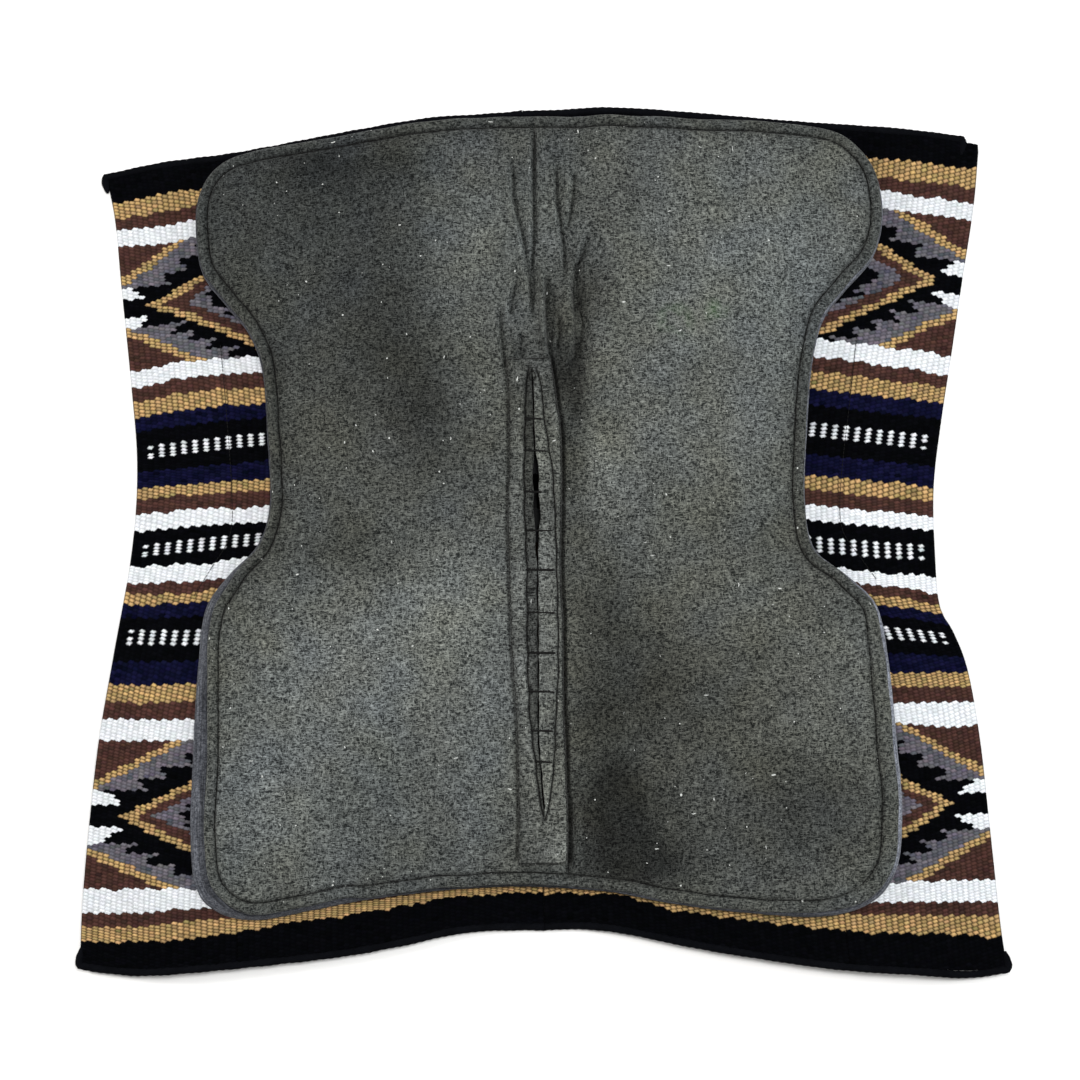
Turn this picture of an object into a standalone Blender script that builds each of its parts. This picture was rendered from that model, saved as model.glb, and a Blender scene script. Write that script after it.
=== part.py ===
"""Western saddle pad, lying open with its felt side up.

Layers from the underside up: wear leathers, striped woven blanket in two halves
joined along the spine, blue-grey felt core, charcoal felt liner with a stitched
rim, and a raised felt strip round the spine slot, whose lips are held by tacks.
The pad bends at two fold lines, one on each side of the spine strip.

Plan dimensions are in millimetres and turned into metres when a mesh is made.
+X runs across the pad, +Y along the spine towards the withers, +Z up.
"""
import bpy
import bmesh
import math
from mathutils import Matrix, Vector
from mathutils.geometry import delaunay_2d_cdt

# ------------------------------------------------------------------ dimensions
MM = 0.001
GAP = 0.3                 # clearance between touching pieces
SPINE_X = -10.0           # the spine runs along this line
HALF = 32.0               # spine to fold line
WOVEN_T = 6.0             # double weave blanket
CORE_T = 12.0             # blue-grey felt core
LINER_T = 5.5             # charcoal felt liner
STRIP_T = 3.2             # raised strip round the slot
LIP_T = 3.8               # rolled lips of the slot
LEATHER_T = 2.4           # wear leathers
CORD_W = 6.5              # end cord across the warp ends
STITCH_W = 1.6            # width of a line of stitches
STITCH_T = 1.0
LIP_INSET = 1.5           # liner stands back from the core by this much
LIP_INSET_REAR = 8.5      # ... and by this much round the left rear lobe

SPINE_LIFT = 44.0         # the withers end stands this far off the floor
SPINE_REST = -260.0       # behind this the spine lies on the floor
SPINE_RUN = 715.0
CREST = 95.0              # crest of the front arch, from the spine
SKIRT = 412.0             # the front arch has come down to the floor here
REAR_LEFT = 31.0          # rise of the left rear wing
REAR_RIGHT = 36.0         # rise of the right rear wing

W0 = 0.0                                   # blanket underside
W1 = W0 + WOVEN_T
C0 = W1 + GAP                              # core
C1 = C0 + CORE_T
L0 = C1 + GAP                              # liner
L1 = L0 + LINER_T
S0 = L1 + GAP                              # spine strip
S1 = S0 + STRIP_T

# Plan outlines, control points in millimetres, smoothed by a spline.
FRONT_LEFT = [(-10, 442), (-60, 438.5), (-107, 434), (-189, 425), (-300, 416),
              (-381, 412), (-444, 401)]
SIDE_LEFT = [(-444, 401), (-434, 350), (-427, 278), (-417, 180), (-410, 90),
             (-415, 0), (-431, -100), (-445, -186), (-454, -270), (-460, -345),
             (-463, -410)]
REAR_LEFT_EDGE = [(-463, -410), (-434, -415), (-396, -418), (-330, -415),
                  (-217, -406), (-150, -396.5), (-100, -387), (-60, -384),
                  (-10, -385)]
FRONT_RIGHT = [(-10, 442), (67, 441), (145, 436), (235, 433), (340, 431),
               (400, 426), (447, 418), (463, 400)]
SIDE_RIGHT = [(463, 400), (454, 339), (437, 258), (422, 184), (408, 117),
              (396, 48), (392.5, -20), (393, -76), (405, -102), (417, -140),
              (425, -210), (429, -290), (433, -370), (439, -438)]
REAR_RIGHT_EDGE = [(439, -438), (400, -442), (355, -438), (270, -430),
                   (170, -413), (100, -398), (60, -389), (25, -385), (-10, -385)]
FELT_LEFT = [(-10, 430), (-58, 429.5), (-106, 425), (-204, 415), (-285, 409),
             (-322, 398), (-343, 372), (-348, 334), (-341, 286), (-316, 250),
             (-292, 217), (-279, 176), (-275, 112), (-273, 44), (-286, 2),
             (-316, -28), (-338, -62), (-344, -118), (-348, -198), (-351, -284),
             (-345, -336), (-323, -360), (-288, -367), (-240, -360),
             (-180, -350), (-107, -343), (-46, -341), (-10, -342)]
FELT_RIGHT = [(-10, 430), (30, 429), (89, 426), (169, 423), (245, 424),
              (305, 419), (337, 400), (354, 368), (357, 326), (344, 284),
              (315, 251), (290, 219), (276, 172), (268, 109), (262, 35),
              (268, -17), (299, -47), (324, -77), (331, -128), (334, -210),
              (336, -275), (328, -333), (302, -365), (252, -376), (180, -372),
              (110, -361), (58, -348), (-10, -343)]
LEATHER_LEFT = [(-324, 212), (-318, 140), (-313, 60), (-315, 14), (-334, -20),
                (-352, -50), (-330, -78), (-270, -84), (-205, -70), (-186, -20),
                (-186, 90), (-196, 190), (-225, 226), (-285, 232)]
LEATHER_RIGHT = [(325, 205), (315, 140), (302, 60), (299, 6), (316, -26),
                 (332, -52), (312, -78), (256, -84), (192, -70), (173, -20),
                 (173, 90), (183, 185), (212, 220), (280, 226)]
STRIP_X0, STRIP_X1 = -35.0, 16.5
CHANNEL_X0, CHANNEL_X1 = -17.0, 3.0    # hollow under the slot
SLOT_Y0, SLOT_Y1 = -268.0, 160.0
STRIP_Y0, STRIP_Y1 = -322.0, 176.0
WINDOW_LEFT = [(-7, -279), (-11, -262), (-14, -225), (-18, -180), (-19, -120),
               (-17.5, -40), (-18, 40), (-16, 100), (-14, 150), (-11, 169)]
WINDOW_RIGHT = [(-7, -279), (-2, -262), (3, -225), (6, -180), (10, -125),
                (11, -40), (10, 55), (3, 117), (1, 150), (-4, 169)]
SLIT = [(-7, -270), (-9.5, -230), (-10.5, -190), (-9, -120), (-7, -30),
        (-6.5, 40), (-7, 100), (-7, 162)]
SLIT_OPEN = 3.2           # half width of the open middle of the slit
SLIT_SHUT = 0.35          # half width where the lips meet
TACK_Y = (117, 85, 44, 5, -34, -76, -116, -154, -192, -222)
TACK_HALF = 12.5

# ------------------------------------------------------------------ the drape
def smooth(t):
    t = max(0.0, min(1.0, t))
    return t * t * (3.0 - 2.0 * t)


def drape(x, y):
    """Height of the blanket's underside over the floor, mm."""
    s = x - SPINE_X
    a = abs(s)
    spine = SPINE_LIFT * max(0.0, min(1.0, (y - SPINE_REST) / SPINE_RUN)) ** 0.9
    if a <= HALF:
        arch = 1.0
    elif a <= CREST:
        arch = 1.0 + 0.18 * smooth((a - HALF) / (CREST - HALF))
    elif a < SKIRT:
        arch = 1.18 * math.cos(math.pi / 2 * (a - CREST) / (SKIRT - CREST)) ** 2
    else:
        arch = 0.0
    if a <= HALF:
        wing = 0.0
    elif s < 0:
        wing = REAR_LEFT * min(1.0, (a - HALF) / 328.0)
    else:
        wing = REAR_RIGHT * (1.0 - math.exp(-(a - HALF) / 125.0))
    wing *= 1.0 - 0.72 * smooth((a - 352.0) / 80.0)
    wing *= smooth((60.0 - y) / 260.0)
    wing *= 1.0 - 0.55 * smooth((-y - 339.0) / 75.0)
    return max(0.0, spine * arch + wing)


GRID_S = [0.0, 32.0, 62.0, 95.0, 150.0, 205.0, 260.0, 312.0, 360.0, 412.0, 480.0]
GRID_X = sorted({SPINE_X - s for s in GRID_S} | {SPINE_X + s for s in GRID_S})
GRID_Y = [-460.0 + 57.5 * k for k in range(17)]


def cell(values, v):
    k = 0
    while k < len(values) - 2 and v > values[k + 1]:
        k += 1
    return k


def height(x, y):
    """The drape as flat facets, shared by every layer so that they never cross."""
    i, j = cell(GRID_X, x), cell(GRID_Y, y)
    x0, x1, y0, y1 = GRID_X[i], GRID_X[i + 1], GRID_Y[j], GRID_Y[j + 1]
    u, v = (x - x0) / (x1 - x0), (y - y0) / (y1 - y0)
    a, b = drape(x0, y0), drape(x1, y0)
    c, d = drape(x1, y1), drape(x0, y1)
    if u >= v:
        return a + (b - a) * u + (c - b) * v
    return a + (c - d) * u + (d - a) * v


# ------------------------------------------------------------------ plan tools
def spline(points, step=24.0, closed=False):
    """Catmull-Rom curve through the control points, about one point per step."""
    pts = [Vector((p[0], p[1])) for p in points]
    n = len(pts)
    out = []
    for k in range(n if closed else n - 1):
        if closed:
            p0, p1, p2, p3 = (pts[(k + m) % n] for m in (-1, 0, 1, 2))
        else:
            p1, p2 = pts[k], pts[k + 1]
            p0 = pts[k - 1] if k else p1 * 2 - p2
            p3 = pts[k + 2] if k + 2 < n else p2 * 2 - p1
        cuts = max(1, round((p2 - p1).length / step))
        for m in range(cuts):
            t = m / cuts
            out.append(((2 * p1) + (p2 - p0) * t
                        + (2 * p0 - 5 * p1 + 4 * p2 - p3) * t * t
                        + (3 * p1 - p0 - 3 * p2 + p3) * t ** 3) * 0.5)
    if not closed:
        out.append(pts[-1])
    return [(p.x, p.y) for p in out]


def at(points, v, axis=1):
    """The other coordinate of a polyline where one coordinate is v."""
    for p, q in zip(points, points[1:]):
        lo, hi = sorted((p[axis], q[axis]))
        if lo <= v <= hi and hi > lo:
            t = (v - p[axis]) / (q[axis] - p[axis])
            return p[1 - axis] + (q[1 - axis] - p[1 - axis]) * t
    ends = sorted((points[0], points[-1]), key=lambda p: abs(p[axis] - v))
    return ends[0][1 - axis]


def offset(points, d):
    """Move an open polyline sideways: d to the left of its direction."""
    out = []
    for k, p in enumerate(points):
        a = Vector(points[max(0, k - 1)])
        b = Vector(points[min(len(points) - 1, k + 1)])
        t = (b - a).normalized()
        q = Vector(p) + Vector((-t.y, t.x)) * (d(p) if callable(d) else d)
        out.append((q.x, q.y))
    return out


def inside(poly, x, y):
    hit = False
    for (x0, y0), (x1, y1) in zip(poly, poly[1:] + poly[:1]):
        if (y0 > y) != (y1 > y) and x < x0 + (x1 - x0) * (y - y0) / (y1 - y0):
            hit = not hit
    return hit


def tidy(poly):
    """Drop points closer than half a millimetre to the one before."""
    out = []
    for p in poly:
        if not out or math.hypot(p[0] - out[-1][0], p[1] - out[-1][1]) > 0.5:
            out.append(p)
    if math.hypot(out[0][0] - out[-1][0], out[0][1] - out[-1][1]) <= 0.5:
        out.pop()
    return out


def cut_x(poly, x, keep_left):
    """The part of a polygon on one side of the line at x."""
    out = []
    for p, q in zip(poly, poly[1:] + poly[:1]):
        pin = (p[0] <= x) == keep_left
        qin = (q[0] <= x) == keep_left
        if pin:
            out.append(p)
        if pin != qin:
            t = (x - p[0]) / (q[0] - p[0])
            out.append((x, p[1] + (q[1] - p[1]) * t))
    return tidy(out)


# ------------------------------------------------------------------ materials
def material(name, colour, rough):
    m = bpy.data.materials.get(name)
    if m is None:
        m = bpy.data.materials.new(name)
        m.use_nodes = True
        b = m.node_tree.nodes["Principled BSDF"]
        b.inputs["Base Color"].default_value = (*colour, 1.0)
        b.inputs["Roughness"].default_value = rough
        b.inputs["Metallic"].default_value = 0.0
    return m


def layer(name, poly, lo, hi, colour, rough=0.95, hole=None, lift=None):
    """A slab of even thickness that lies on the drape and has the plan outline."""
    poly = tidy(poly)
    loops = [poly] + ([tidy(hole)] if hole else [])
    verts, edges = [], []
    for loop in loops:
        k = len(verts)
        verts += [Vector(p) for p in loop]
        edges += [(k + m, k + (m + 1) % len(loop)) for m in range(len(loop))]
    x0 = min(p[0] for p in poly)
    x1 = max(p[0] for p in poly)
    y0 = min(p[1] for p in poly)
    y1 = max(p[1] for p in poly)
    i0, i1 = cell(GRID_X, x0), cell(GRID_X, x1) + 1
    j0, j1 = cell(GRID_Y, y0), cell(GRID_Y, y1) + 1
    base = len(verts)
    wide = i1 - i0 + 1
    for j in range(j0, j1 + 1):
        for i in range(i0, i1 + 1):
            verts.append(Vector((GRID_X[i], GRID_Y[j])))
    for j in range(j1 - j0 + 1):
        for i in range(i1 - i0 + 1):
            here = base + j * wide + i
            if i < i1 - i0:
                edges.append((here, here + 1))
            if j < j1 - j0:
                edges.append((here, here + wide))
            if i < i1 - i0 and j < j1 - j0:
                edges.append((here, here + wide + 1))
    pts, _, tris, *_ = delaunay_2d_cdt(verts, edges, [], 0, 1e-4, False)
    kept = []
    for t in tris:
        cx = sum(pts[k].x for k in t) / 3.0
        cy = sum(pts[k].y for k in t) / 3.0
        if inside(loops[0], cx, cy) and not (hole and inside(loops[1], cx, cy)):
            kept.append(t)
    bm = bmesh.new()
    low, high = {}, {}
    for t in kept:
        for k in t:
            if k not in low:
                x, y = pts[k].x, pts[k].y
                z = height(x, y)
                up = lift(x, y) if lift else 0.0
                low[k] = bm.verts.new((x * MM, y * MM, (z + lo) * MM))
                high[k] = bm.verts.new((x * MM, y * MM, (z + hi + up) * MM))
    count = {}
    for t in kept:
        for a, b in ((t[0], t[1]), (t[1], t[2]), (t[2], t[0])):
            count[(a, b)] = count.get((a, b), 0) + 1
        bm.faces.new([high[k] for k in t])
        bm.faces.new([low[k] for k in reversed(t)])
    for (a, b) in count:
        if (b, a) not in count:
            bm.faces.new((low[a], low[b], high[b], high[a]))
    mesh = bpy.data.meshes.new(name)
    bm.to_mesh(mesh)
    bm.free()
    mesh.materials.append(material(name.rstrip("0123456789_") + "_stuff",
                                   colour, rough))
    ob = bpy.data.objects.new(name, mesh)
    bpy.context.scene.collection.objects.link(ob)
    return ob


# ------------------------------------------------------------------ the pieces
def put_on_axis(ob, x):
    """Set a wing piece's origin on its fold line and hang it on the fold empty."""
    pivot = FOLDS[x]
    ob.data.transform(Matrix.Translation(-Vector(pivot.location)))
    ob.parent = pivot


def fold_height(y):
    """The fold lines run just over the top of the felt at the spine."""
    return L1 + 1.6 + (y + 385.0) * 44.0 / 827.0


def rear_left(p):
    """0 to 1, rising into the left rear lobe."""
    return smooth((60.0 - p[1]) / 90.0) * smooth((SPINE_X - p[0] - 60.0) / 120.0)


FOLDS = {}


def build():
    for ob in list(bpy.data.objects):
        bpy.data.objects.remove(ob, do_unlink=True)

    for x in (SPINE_X - HALF, SPINE_X + HALF):
        e = bpy.data.objects.new("fold_left" if x < SPINE_X else "fold_right", None)
        e.location = (x * MM, 0.0, fold_height(0.0) * MM)
        bpy.context.scene.collection.objects.link(e)
        FOLDS[x] = e
    bpy.context.view_layer.update()

    halves = {}
    black = (0.012, 0.011, 0.012)
    woven = (0.30, 0.16, 0.07)
    bluegrey = (0.14, 0.15, 0.19)
    charcoal = (0.075, 0.08, 0.072)
    thread = (0.02, 0.02, 0.018)
    leather = (0.10, 0.045, 0.02)

    for side, front, edge, rear, felt, hide in (
            (-1, FRONT_LEFT, SIDE_LEFT, REAR_LEFT_EDGE, FELT_LEFT, LEATHER_LEFT),
            (1, FRONT_RIGHT, SIDE_RIGHT, REAR_RIGHT_EDGE, FELT_RIGHT,
             LEATHER_RIGHT)):
        tag = "left" if side < 0 else "right"
        fold = SPINE_X + side * HALF
        keep_left = side < 0
        wing_edge = fold + side * GAP / 2        # wing side of the fold
        spine_edge = fold - side * GAP / 2       # spine side of the fold
        seam_edge = SPINE_X + side * GAP / 2
        wing = []

        f = spline(front, 50.0)
        e = spline(edge, 60.0)
        r = spline(rear, 50.0)

        # blanket half, between its two end cords
        def drop(line, d):
            return [(p[0], p[1] + d) for p in line]
        ff, rr = drop(f, -(CORD_W + GAP)), drop(r, CORD_W + GAP)
        yf, yr = ff[-1][1], rr[0][1]
        mid = [p for p in e if yr + 6 < p[1] < yf - 6]
        half = ff + mid + rr
        half = tidy(half)
        wing.append(layer("woven_blanket_" + tag, cut_x(half, wing_edge, keep_left),
                          W0, W1, woven))
        inner = cut_x(cut_x(half, spine_edge, not keep_left), seam_edge, keep_left)
        layer("woven_spine_" + tag, inner, W0, W1, woven)

        # end cords that bind the warp ends
        for end, line, d in (("front", f, -CORD_W), ("rear", r, CORD_W)):
            band = line + list(reversed(drop(line, d)))
            wing.append(layer(end + "_end_cord_" + tag,
                              cut_x(band, wing_edge, keep_left),
                              W0, W1 + 1.0, black))
            layer(end + "_end_cord_spine_" + tag,
                  cut_x(cut_x(band, spine_edge, not keep_left), seam_edge,
                        keep_left), W0, W1 + 1.0, black)

        # felt core and liner
        core = spline(felt, 32.0)

        def back(p, s=side):
            # the left rear lobe shows a broad step of core round the liner
            return -s * (LIP_INSET + (LIP_INSET_REAR - LIP_INSET) * rear_left(p))
        rim = offset(core, back)
        wing.append(layer("felt_core_" + tag, cut_x(core, wing_edge, keep_left),
                          C0, C1, bluegrey))
        wing.append(layer("felt_liner_" + tag, cut_x(rim, wing_edge, keep_left),
                          L0, L1, charcoal))

        # rails of core and liner between the fold line and the slot channel
        wall = CHANNEL_X0 if side < 0 else CHANNEL_X1
        for what, outline, lo, hi, colour in (
                ("core", core, C0, C1, bluegrey), ("liner", rim, L0, L1, charcoal)):
            rail = cut_x(cut_x(outline, spine_edge, not keep_left), wall, keep_left)
            layer(what + "_rail_" + tag, rail, lo, hi, colour)
            halves[(what, side)] = outline

        # rim stitching, a line on the liner a little inside its edge
        line = offset(core, lambda p: -side * (12.5 + 6.0 * rear_left(p)))
        inner_line = offset(line, -side * STITCH_W)
        band = line + list(reversed(inner_line))
        wing.append(layer("rim_stitch_" + tag, cut_x(band, wing_edge, keep_left),
                          S0, S0 + STITCH_T, thread))
        both = cut_x(cut_x(band, spine_edge, not keep_left), seam_edge, keep_left)
        fr = [p for p in both if p[1] > 0]
        rr2 = [p for p in both if p[1] < 0]
        layer("rim_stitch_front_" + tag, fr, S0, S0 + STITCH_T, thread)
        layer("rim_stitch_rear_" + tag, rr2, S0, S0 + STITCH_T, thread)

        # wear leather under the wing, and its stitching seen on the blanket
        wing.append(layer("wear_leather_" + tag, spline(hide, 45.0, True),
                          -(GAP + LEATHER_T), -GAP, leather, 0.6))
        shown = spline(hide[:6], 36.0)
        seen = shown + list(reversed(offset(shown, side * -1.0)))
        wing.append(layer("wear_leather_stitch_" + tag, seen, W1 + GAP,
                          W1 + GAP + 0.7, thread))
        for ob in wing:
            put_on_axis(ob, fold)

    # webs of core and liner before and behind the slot
    x0, x1 = CHANNEL_X0 + GAP, CHANNEL_X1 - GAP
    for what, lo, hi, colour in (("core", C0, C1, bluegrey),
                                 ("liner", L0, L1, charcoal)):
        a, b = halves[(what, -1)], halves[(what, 1)]
        na, nb = len(a) // 2, len(b) // 2
        layer(what + "_front_web",
              [(x0, SLOT_Y1), (x1, SLOT_Y1), (x1, at(b[:nb], x1, 0)), b[0],
               (x0, at(a[:na], x0, 0))], lo, hi, colour)
        layer(what + "_rear_web",
              [(x0, at(a[na:], x0, 0)), a[-1], (x1, at(b[nb:], x1, 0)),
               (x1, SLOT_Y0), (x0, SLOT_Y0)], lo, hi, colour)

    # raised strip round the slot: two rails and two ends
    wl = spline(WINDOW_LEFT, 20.0)
    wr = spline(WINDOW_RIGHT, 20.0)
    y_lo, y_hi = -279.0, 169.0
    felt = (0.07, 0.074, 0.068)
    layer("spine_strip_left", [(STRIP_X0, y_lo), (STRIP_X0, y_hi)]
          + [(p[0] - GAP, p[1]) for p in reversed(wl)], S0, S1, felt)
    layer("spine_strip_right", [(STRIP_X1, y_hi), (STRIP_X1, y_lo)]
          + [(p[0] + GAP, p[1]) for p in wr], S0, S1, felt)
    layer("spine_strip_front", [(STRIP_X0, y_hi + GAP), (STRIP_X1, y_hi + GAP),
                                (STRIP_X1, STRIP_Y1), (STRIP_X0, STRIP_Y1)],
          S0, S1, felt)
    layer("spine_strip_rear", [(STRIP_X0, STRIP_Y0), (STRIP_X1, STRIP_Y0),
                               (STRIP_X1, y_lo - GAP), (STRIP_X0, y_lo - GAP)],
          S0, S1, felt)

    # rolled lips on the two sides of the slit
    slit = spline(SLIT, 18.0)

    def gape(y):
        t = smooth((y + 32.0) / 60.0) * smooth((98.0 - y) / 45.0)
        return SLIT_SHUT + (SLIT_OPEN - SLIT_SHUT) * t
    left = [p for p in wl if -268 < p[1] < 160]
    right = [p for p in wr if -268 < p[1] < 160]
    sl = [(x - gape(y), y) for x, y in slit if -268 < y < 160]
    sr = [(x + gape(y), y) for x, y in slit if -268 < y < 160]
    layer("slot_lip_left", left + list(reversed(sl)), S0, S0 + LIP_T, felt)
    layer("slot_lip_right", right + list(reversed(sr)), S0, S0 + LIP_T, felt)

    # tacks across the lips
    top = S0 + LIP_T + GAP
    for k, y in enumerate(TACK_Y):
        mid = (at(wl, y) + at(wr, y)) / 2
        reach = min(TACK_HALF, (at(wr, y) - at(wl, y)) / 2 - 1.0)
        layer("slot_tack_%02d" % (k + 1),
              [(mid - reach, y - 0.9), (mid + reach, y - 0.9),
               (mid + reach, y + 0.9), (mid - reach, y + 0.9)],
              top, top + 1.0, thread)

    # stitching round the strip
    i = 1.4
    o = i + STITCH_W
    layer("strip_stitch", [(STRIP_X0 + i, STRIP_Y0 + i), (STRIP_X1 - i, STRIP_Y0 + i),
                           (STRIP_X1 - i, STRIP_Y1 - i), (STRIP_X0 + i, STRIP_Y1 - i)],
          S1 + GAP, S1 + GAP + STITCH_T, thread,
          hole=[(STRIP_X0 + o, STRIP_Y0 + o), (STRIP_X1 - o, STRIP_Y0 + o),
                (STRIP_X1 - o, STRIP_Y1 - o), (STRIP_X0 + o, STRIP_Y1 - o)])


build()
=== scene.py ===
import math

import bmesh
import bpy
import numpy as np
from mathutils import Matrix, Vector
from mathutils.geometry import delaunay_2d_cdt


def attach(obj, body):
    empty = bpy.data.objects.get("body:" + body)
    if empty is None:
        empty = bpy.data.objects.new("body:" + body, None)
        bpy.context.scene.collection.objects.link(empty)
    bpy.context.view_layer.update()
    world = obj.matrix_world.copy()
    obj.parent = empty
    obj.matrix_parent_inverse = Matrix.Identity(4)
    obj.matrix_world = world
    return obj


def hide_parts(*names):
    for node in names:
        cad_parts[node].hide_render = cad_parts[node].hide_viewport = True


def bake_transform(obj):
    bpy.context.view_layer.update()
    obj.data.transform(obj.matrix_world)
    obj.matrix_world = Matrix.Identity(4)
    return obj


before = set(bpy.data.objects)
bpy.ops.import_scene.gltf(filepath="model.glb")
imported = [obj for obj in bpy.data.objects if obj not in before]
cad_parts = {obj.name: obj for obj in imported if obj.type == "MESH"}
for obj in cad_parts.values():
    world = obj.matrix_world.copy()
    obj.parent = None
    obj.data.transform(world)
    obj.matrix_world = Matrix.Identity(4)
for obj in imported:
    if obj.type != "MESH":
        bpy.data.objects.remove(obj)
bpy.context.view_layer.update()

MM = 0.001

# ------------------------------------------------------------------ dimensions
GAP = 0.3
SPINE_X = -10.0
HALF = 32.0
WOVEN_T, CORE_T, LINER_T, STRIP_T, LEATHER_T = 6.0, 12.0, 5.5, 3.2, 2.4
CORD_W = 6.5
W1 = WOVEN_T
C0 = W1 + GAP
C1 = C0 + CORE_T
L0 = C1 + GAP
L1 = L0 + LINER_T
LIP_INSET, LIP_INSET_REAR = 1.5, 15.5

FRONT_LEFT = [(-10, 442), (-60, 438.5), (-107, 434), (-189, 425), (-300, 416),
              (-381, 412), (-444, 401)]
SIDE_LEFT = [(-444, 401), (-434, 350), (-427, 278), (-417, 180), (-410, 90),
             (-415, 0), (-431, -100), (-445, -186), (-454, -270), (-460, -345),
             (-463, -410)]
REAR_LEFT_EDGE = [(-463, -410), (-434, -415), (-396, -418), (-330, -415),
                  (-217, -406), (-150, -396.5), (-100, -387), (-60, -384),
                  (-10, -385)]
FRONT_RIGHT = [(-10, 442), (67, 441), (145, 436), (235, 433), (340, 431),
               (400, 426), (447, 418), (463, 400)]
SIDE_RIGHT = [(463, 400), (454, 339), (437, 258), (422, 184), (408, 117),
              (396, 48), (392.5, -20), (393, -76), (405, -102), (417, -140),
              (425, -210), (429, -290), (433, -370), (439, -438)]
REAR_RIGHT_EDGE = [(439, -438), (400, -442), (355, -438), (270, -430),
                   (170, -413), (100, -398), (60, -389), (25, -385), (-10, -385)]
FELT_LEFT = [(1, 430), (-30, 430), (-58, 429.5), (-106, 425), (-204, 415), (-285, 409),
             (-322, 398), (-343, 372), (-348, 334), (-341, 286), (-316, 250),
             (-292, 217), (-279, 176), (-275, 112), (-273, 44), (-286, 2),
             (-316, -28), (-338, -62), (-344, -118), (-348, -198), (-351, -284),
             (-345, -336), (-323, -360), (-288, -367), (-240, -360),
             (-180, -350), (-107, -343), (-46, -341), (-10, -342.5), (14.5, -344.5)]
FELT_RIGHT = [(1, 430), (30, 429), (89, 426), (169, 423), (245, 424),
              (305, 419), (337, 400), (354, 368), (357, 326), (344, 284),
              (315, 251), (290, 219), (276, 172), (268, 109), (262, 35),
              (268, -17), (299, -47), (324, -77), (331, -128), (334, -210),
              (336, -275), (328, -333), (302, -365), (252, -376), (180, -372),
              (110, -361), (58, -349.5), (14.5, -344.5)]
LEATHER_LEFT = [(-324, 212), (-318, 140), (-313, 60), (-315, 14), (-334, -20),
                (-352, -50), (-330, -78), (-270, -84), (-205, -70), (-186, -20),
                (-186, 90), (-196, 190), (-225, 226), (-285, 232)]
LEATHER_RIGHT = [(325, 205), (315, 140), (302, 60), (299, 6), (316, -26),
                 (332, -52), (312, -78), (256, -84), (192, -70), (173, -20),
                 (173, 90), (183, 185), (212, 220), (280, 226)]
WINDOW_LEFT = [(-7, -279), (-11, -262), (-14, -225), (-18, -180), (-19, -120),
               (-17.5, -40), (-18, 40), (-16, 100), (-14, 150), (-11, 169)]
WINDOW_RIGHT = [(-7, -279), (-2, -262), (3, -225), (6, -180), (10, -125),
                (11, -40), (10, 55), (3, 117), (1, 150), (-4, 169)]
SLIT = [(-7, -270), (-9.5, -230), (-10.5, -190), (-9, -120), (-7, -30),
        (-6.5, 40), (-7, 100), (-7, 162)]
TACK_Y = (117, 85, 44, 5, -34, -76, -116, -154, -192, -222)
STRIP_X0, STRIP_X1, STRIP_Y0, STRIP_Y1 = -35.0, 16.5, -322.0, 176.0
CHANNEL_X0, CHANNEL_X1, SLOT_Y0, SLOT_Y1 = -17.0, 3.0, -268.0, 160.0
SEAM_FRONT, SEAM_REAR = 1.0, 14.5


# ------------------------------------------------------------------ the drape
def sm(t):
    t = np.clip(t, 0.0, 1.0)
    return t * t * (3.0 - 2.0 * t)


def drape(x, y):
    """Height of the blanket's underside over the floor, mm."""
    x, y = np.asarray(x, float), np.asarray(y, float)
    s = x - SPINE_X
    a = np.abs(s)
    spine = 44.0 * np.clip((y + 260.0) / 715.0, 0, 1) ** 0.9
    arch = 1.0 + 0.18 * sm((a - 32.0) / 63.0)
    far = 1.18 * np.cos(np.pi / 2 * (np.clip(a, 95.0, 412.0) - 95.0) / 317.0) ** 2
    arch = np.where(a <= 95.0, arch, far)
    b = np.maximum(a - 32.0, 0.0)
    wing = np.where(s < 0, 31.0 * np.minimum(1.0, b / 328.0),
                    36.0 * (1.0 - np.exp(-b / 125.0)))
    wing = wing * (1.0 - 0.72 * sm((a - 352.0) / 80.0)) * sm((60.0 - y) / 260.0)
    wing = wing * (1.0 - 0.55 * sm((-y - 339.0) / 75.0))
    return np.maximum(0.0, spine * arch + wing)


# ------------------------------------------------------------------ the camera
TILT, AZ, DIST = math.radians(10.0), math.radians(1.56), 2200.0
TARGET = np.array([-4.0, 0.0, 20.0])
RIGHT = np.array([math.cos(AZ), -math.sin(AZ), 0.0])
FWD = np.array([math.sin(TILT) * math.sin(AZ), math.sin(TILT) * math.cos(AZ),
                -math.cos(TILT)])
UP = np.array([math.cos(TILT) * math.sin(AZ), math.cos(TILT) * math.cos(AZ),
               math.sin(TILT)])

camera = bpy.data.objects.new("camera", bpy.data.cameras.new("camera"))
bpy.context.scene.collection.objects.link(camera)
camera.data.lens = 73.33
camera.data.sensor_width = 36.0
camera.data.sensor_fit = "HORIZONTAL"
camera.data.clip_start, camera.data.clip_end = 0.05, 50.0
camera.matrix_world = Matrix((
    (RIGHT[0], UP[0], -FWD[0], (TARGET[0] - DIST * FWD[0]) * MM),
    (RIGHT[1], UP[1], -FWD[1], (TARGET[1] - DIST * FWD[1]) * MM),
    (RIGHT[2], UP[2], -FWD[2], (TARGET[2] - DIST * FWD[2]) * MM),
    (0, 0, 0, 1)))
bpy.context.scene.camera = camera


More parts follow.
